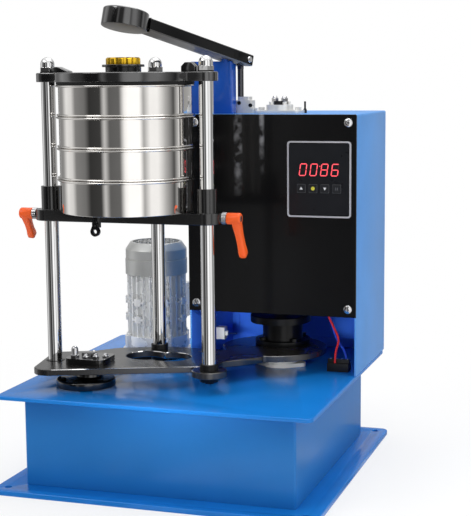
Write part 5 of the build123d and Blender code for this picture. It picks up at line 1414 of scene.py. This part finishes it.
@dataclass
class DriveBay:
    """What shows under the panel: terminal screws, the two leads, and a small bracket with its rod."""

    lead_radius: float = 1.8 * MM
    lead_lengths: tuple[float, float] = (0.247, 0.250)
    cap_radius: float = 50 * MM
    cap_height: float = 12 * MM
    routes: tuple = (
        ("red", ((209, 54, 168), (209, 54, 186), (217, 54, 207), (207, 53, 228), (196, 50, 252), (193, 46, 290),
                 (191, 42, 330), (190, 39.8, 370), (190, 39.8, 410))),
        ("blue", ((225, 66, 168), (225, 66, 184), (210, 65, 203), (203, 64, 222), (200, 60, 250), (199, 54, 290),
                  (200, 44, 330), (200, 39.8, 370), (200, 39.8, 410))),
    )

    def leads(self) -> None:
        """Make both leads as free cords from the terminal block to the board."""
        for (colour, route), length in zip(self.routes, self.lead_lengths):
            curve = bpy.data.curves.new(f"lead_{colour}_wire", "CURVE")
            curve.dimensions = "3D"
            curve.bevel_depth = self.lead_radius
            curve.bevel_resolution = 6
            curve.use_fill_caps = True
            spline = curve.splines.new("NURBS")
            spline.points.add(len(route) - 1)
            for point, spot in zip(spline.points, route):
                point.co = (*(Vector(spot) * MM), 1.0)
            spline.order_u = 3
            spline.use_endpoint_u = True
            spline.resolution_u = 12
            node = f"lead_{colour}"
            piece = bpy.data.objects.new(f"{node}_wire", curve)
            seat(piece, node, [f"{colour}_sleeve"], [node])

    def terminal(self) -> None:
        """Make the block with its worked edges and its row of clamp screws."""
        softened("terminal_block", Edge(0.6 * MM))
        block = Extent.of("terminal_block")
        shape = Shape()
        for index in range(4):
            spot = (block.low.x + block.size.x * (index + 0.5) / 4, block.centre.y, block.high.z)
            rings = [round_ring(2.6 * MM, 0, 32), round_ring(2.6 * MM, 0.7 * MM, 32), round_ring(2.2 * MM, 1.0 * MM, 32),
                     round_ring(0, 1.0 * MM, 32)]
            shape.skin(rings, Matrix.Translation(spot))
        shape.finish("terminal_screws", "terminal_block", ["bright_steel"])

    def bracket(self) -> None:
        """Add the small white block on the housing's left wall, with its rod."""
        wall = Extent.of("housing_shell").low.x + 3 * MM
        shape = Shape()
        shape.block((wall, 152 * MM, 176 * MM), (wall + 15 * MM, 168 * MM, 197 * MM))
        shape.block((wall + 15 * MM, 157 * MM, 182 * MM), (wall + 19 * MM, 163 * MM, 190 * MM))
        shape.soften(0.8 * MM)
        shape.finish("bay_bracket", "housing_shell", ["white_plastic"])
        rod = Shape()
        rod.lathe([(0, 0), (1.5 * MM, 0), (1.5 * MM, 17.5 * MM), (1.1 * MM, 18 * MM), (0, 18 * MM)],
                  standing((wall + 18 * MM, 160 * MM, 186 * MM), (1, 0, 0)), steps=32)
        rod.finish("bay_rod", "housing_shell", ["bright_steel"])

    def cap(self) -> None:
        """Add the wide dark cap that turns with the shaft over the drum."""
        axis = Extent.of("upper_bearing").centre
        foot = Extent.of("main_flange").high.z + 2 * MM
        radius, height, rim = self.cap_radius, self.cap_height, 1.5 * MM
        shape = Shape()
        shape.lathe([(0, 0), (radius, 0), (radius, height - rim), (radius - rim, height), (0, height)],
                    Matrix.Translation((axis.x, axis.y, foot)))
        shape.finish("shaft_cap", "main_shaft", ["black_satin"])

    def build(self) -> None:
        """Make the bay's pieces."""
        self.leads()
        self.terminal()
        self.bracket()
        self.cap()


# Studio


@dataclass
class Studio:
    """Floor, lights, sky and camera."""

    eye: Point3 = (0.70545, -1.98701, 0.63446)
    yaw: float = 18.07
    pitch: float = 7.93
    roll: float = -0.47
    focal_px: float = 1308.89
    long_side_px: int = 516
    sensor: float = 36.0
    sky_level: float = 0.55
    floor_size: float = 14.0
    floor_fade: Point2 = (0.45, 1.1)
    wall_radius: float = 1.3
    wall_height: float = 1.4
    bands: tuple[Point2, ...] = (
        (-180, 0.45), (-160, 0.55), (-145, 0.4), (-120, 0.2), (-110, 0.25), (-95, 0.7), (-80, 0.6), (-70, 0.2),
        (-50, 0.15), (-40, 0.03), (-20, 0.04), (-13, 0.5), (-5, 0.1), (12, 0.12), (20, 0.85), (26, 1.0), (44, 1.0),
        (51, 0.35), (62, 0.85), (75, 0.85), (90, 0.4), (108, 0.06), (122, 0.6), (130, 0.25), (160, 0.35), (180, 0.45),
    )

    def camera(self) -> None:
        """Make the camera at the photograph's viewpoint."""
        yaw, pitch, roll = (math.radians(value) for value in (self.yaw, self.pitch, self.roll))
        forward = Vector((-math.sin(yaw) * math.cos(pitch), math.cos(yaw) * math.cos(pitch), -math.sin(pitch)))
        level = forward.cross(Vector((0, 0, 1))).normalized()
        upright = level.cross(forward)
        right = level * math.cos(roll) + upright * math.sin(roll)
        up = upright * math.cos(roll) - level * math.sin(roll)
        lens = bpy.data.cameras.new("view")
        lens.sensor_width = self.sensor
        lens.lens = self.sensor * self.focal_px / self.long_side_px
        lens.clip_end = 50
        lens.dof.use_dof = False
        camera = bpy.data.objects.new("view", lens)
        bpy.context.scene.collection.objects.link(camera)
        turn = Matrix((right, up, -forward)).transposed().to_4x4()
        camera.matrix_world = Matrix.Translation(self.eye) @ turn
        bpy.context.scene.camera = camera

    def sky(self) -> None:
        """Make a sky that shows white and lights the object plainly."""
        world = bpy.data.worlds.new("sky")
        bpy.context.scene.world = world
        world.use_nodes = True
        tree = world.node_tree
        tree.nodes.clear()
        out = tree.nodes.new("ShaderNodeOutputWorld")
        mix = tree.nodes.new("ShaderNodeMixShader")
        path = tree.nodes.new("ShaderNodeLightPath")
        either = tree.nodes.new("ShaderNodeMath")
        either.operation = "MAXIMUM"
        shown = tree.nodes.new("ShaderNodeMath")
        shown.operation = "MAXIMUM"
        tree.links.new(path.outputs["Is Camera Ray"], either.inputs[0])
        tree.links.new(path.outputs["Is Glossy Ray"], either.inputs[1])
        tree.links.new(either.outputs[0], shown.inputs[0])
        tree.links.new(path.outputs["Is Transmission Ray"], shown.inputs[1])
        tree.links.new(shown.outputs[0], mix.inputs["Fac"])
        for index, strength in ((1, self.sky_level), (2, 1.0)):
            lit = tree.nodes.new("ShaderNodeBackground")
            lit.inputs["Strength"].default_value = strength
            lit.inputs["Color"].default_value = (1, 1, 1, 1)
            tree.links.new(lit.outputs[0], mix.inputs[index])
        tree.links.new(mix.outputs[0], out.inputs["Surface"])

    def floor(self) -> None:
        """Make the pale floor, which shows near white and keeps the shadow."""
        mesh = bpy.data.meshes.new("floor")
        half = self.floor_size / 2
        mesh.from_pydata([(-half, -half, 0), (half, -half, 0), (half, half, 0), (-half, half, 0)], [], [(0, 1, 2, 3)])
        floor = bpy.data.objects.new("floor", mesh)
        bpy.context.scene.collection.objects.link(floor)
        graph = Graph("floor_white")
        plain = graph.node("ShaderNodeBsdfDiffuse", {}, {"Color": (0.9, 0.9, 0.9)})["BSDF"]
        white = graph.node("ShaderNodeEmission", {}, {"Color": (1.0, 1.0, 1.0), "Strength": 1.0})["Emission"]
        path = graph.node("ShaderNodeLightPath", {}, {})
        shown = path["Is Camera Ray"].maximum(path["Is Glossy Ray"]).maximum(path["Is Transmission Ray"])
        reach = graph.node("ShaderNodeVectorMath", {"operation": "LENGTH"}, {0: graph.place()})["Value"]
        near, far = self.floor_fade
        fade = ((reach - near) / (far - near)).clamp()
        mixed = graph.node("ShaderNodeMixShader", {}, {0: shown * (0.7 + 0.3 * fade), 1: plain, 2: white})["Shader"]
        graph.tree.links.new(mixed.socket, graph.output.inputs["Surface"])
        mesh.materials.append(graph.material)

    def surround(self) -> None:
        """Stand a round wall with a floor of light and dark bands, which only shows in reflections."""
        centre = Extent.of("sieve_2").centre
        bearings = [2 * math.pi * index / 90 for index in range(90)]
        rings = [(0.002, 0.0), (0.002, self.wall_radius), (self.wall_height, self.wall_radius)]
        points, faces = [(centre.x, centre.y, rings[0][0])], []
        for level, reach in rings[1:]:
            points += [(centre.x + reach * math.sin(turn), centre.y - reach * math.cos(turn), level) for turn in bearings]
        for index in range(90):
            after = (index + 1) % 90
            faces.append((0, 1 + index, 1 + after))
            faces.append((1 + index, 91 + index, 91 + after, 1 + after))
        mesh = bpy.data.meshes.new("surround")
        mesh.from_pydata(points, [], faces)
        wall = bpy.data.objects.new("surround", mesh)
        bpy.context.scene.collection.objects.link(wall)
        graph = Graph("surround_bands")
        spot = graph.node("ShaderNodeSeparateXYZ", {}, {"Vector": graph.place()})
        turn = (spot["X"] - centre.x).bearing(centre.y - spot["Y"]) / (2 * math.pi) + 0.5
        stops = [(azimuth / 360 + 0.5, grey) for azimuth, grey in self.bands]
        shade = graph.node("ShaderNodeValToRGB", {"stops": stops}, {"Fac": turn})["Color"]
        mesh.materials.append(graph.finish({
            "Base Color": (0.0, 0.0, 0.0),
            "Roughness": 1.0,
            "Specular IOR Level": 0.0,
            "Emission Color": shade,
            "Emission Strength": 1.3,
        }))
        wall.visible_camera = wall.visible_diffuse = wall.visible_shadow = wall.visible_transmission = False

    @staticmethod
    def lamp(name: str, place: Point3, aim: Point3, size: Point2, power: float, beam: float = 180.0) -> None:
        """Make one soft box.

        Args:
            name: the lamp's name.
            place: where it stands.
            aim: the point it faces.
            size: its width and height.
            power: its power in watts.
            beam: how wide it shines, in degrees; a narrow one doesn't show in reflections.
        """
        light = bpy.data.lights.new(name, "AREA")
        light.shape = "RECTANGLE"
        light.size, light.size_y = size
        light.energy = power
        lamp = bpy.data.objects.new(name, light)
        bpy.context.scene.collection.objects.link(lamp)
        light.spread = math.radians(beam)
        lamp.visible_glossy = beam == 180.0
        lamp.location = place
        lamp.rotation_euler = (Vector(aim) - Vector(place)).to_track_quat("-Z", "Y").to_euler()

    def build(self) -> None:
        """Make the whole studio."""
        self.camera()
        self.sky()
        self.floor()
        self.surround()
        self.lamp("key_box", (-1.6, -1.8, 2.2), (0, 0, 0.3), (1.2, 1.2), 21)
        self.lamp("side_box", (2.4, -0.6, 1.3), (0, 0, 0.35), (0.9, 1.6), 13)
        self.lamp("top_box", (0.2, 0.3, 2.8), (0, 0, 0.3), (1.8, 1.8), 42)
        self.lamp("low_box", (0.0, -0.75, 0.3), (0.04, 0.1, 0.21), (0.2, 0.1), 0.2, beam=34.0)
        log.info("studio ready")


def main() -> None:
    """Build the pieces in order and the studio around them."""
    logging.basicConfig(level=logging.INFO, format="%(name)s: %(message)s")
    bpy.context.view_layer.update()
    bpy.context.scene.view_settings.view_transform = "Standard"
    Studio().build()
    dress_nodes(frame["nodes"])
    levers = (LockingLever("lever_left", "lever_left_turn", -1, 42, reach=56 * MM, splay=7.5 * MM),
              LockingLever("lever_right", "lever_right_turn", 1, 25, reach=68 * MM, splay=3 * MM))
    assemblies = (DriveBay(), Base(), Housing(), Display(), Motor(), Carriage(), Stage(), SieveStack(), Arm(), *levers)
    for assembly in assemblies:
        assembly.build()
        log.info("built %s", type(assembly).__name__)


if __name__ == "__main__":
    main()
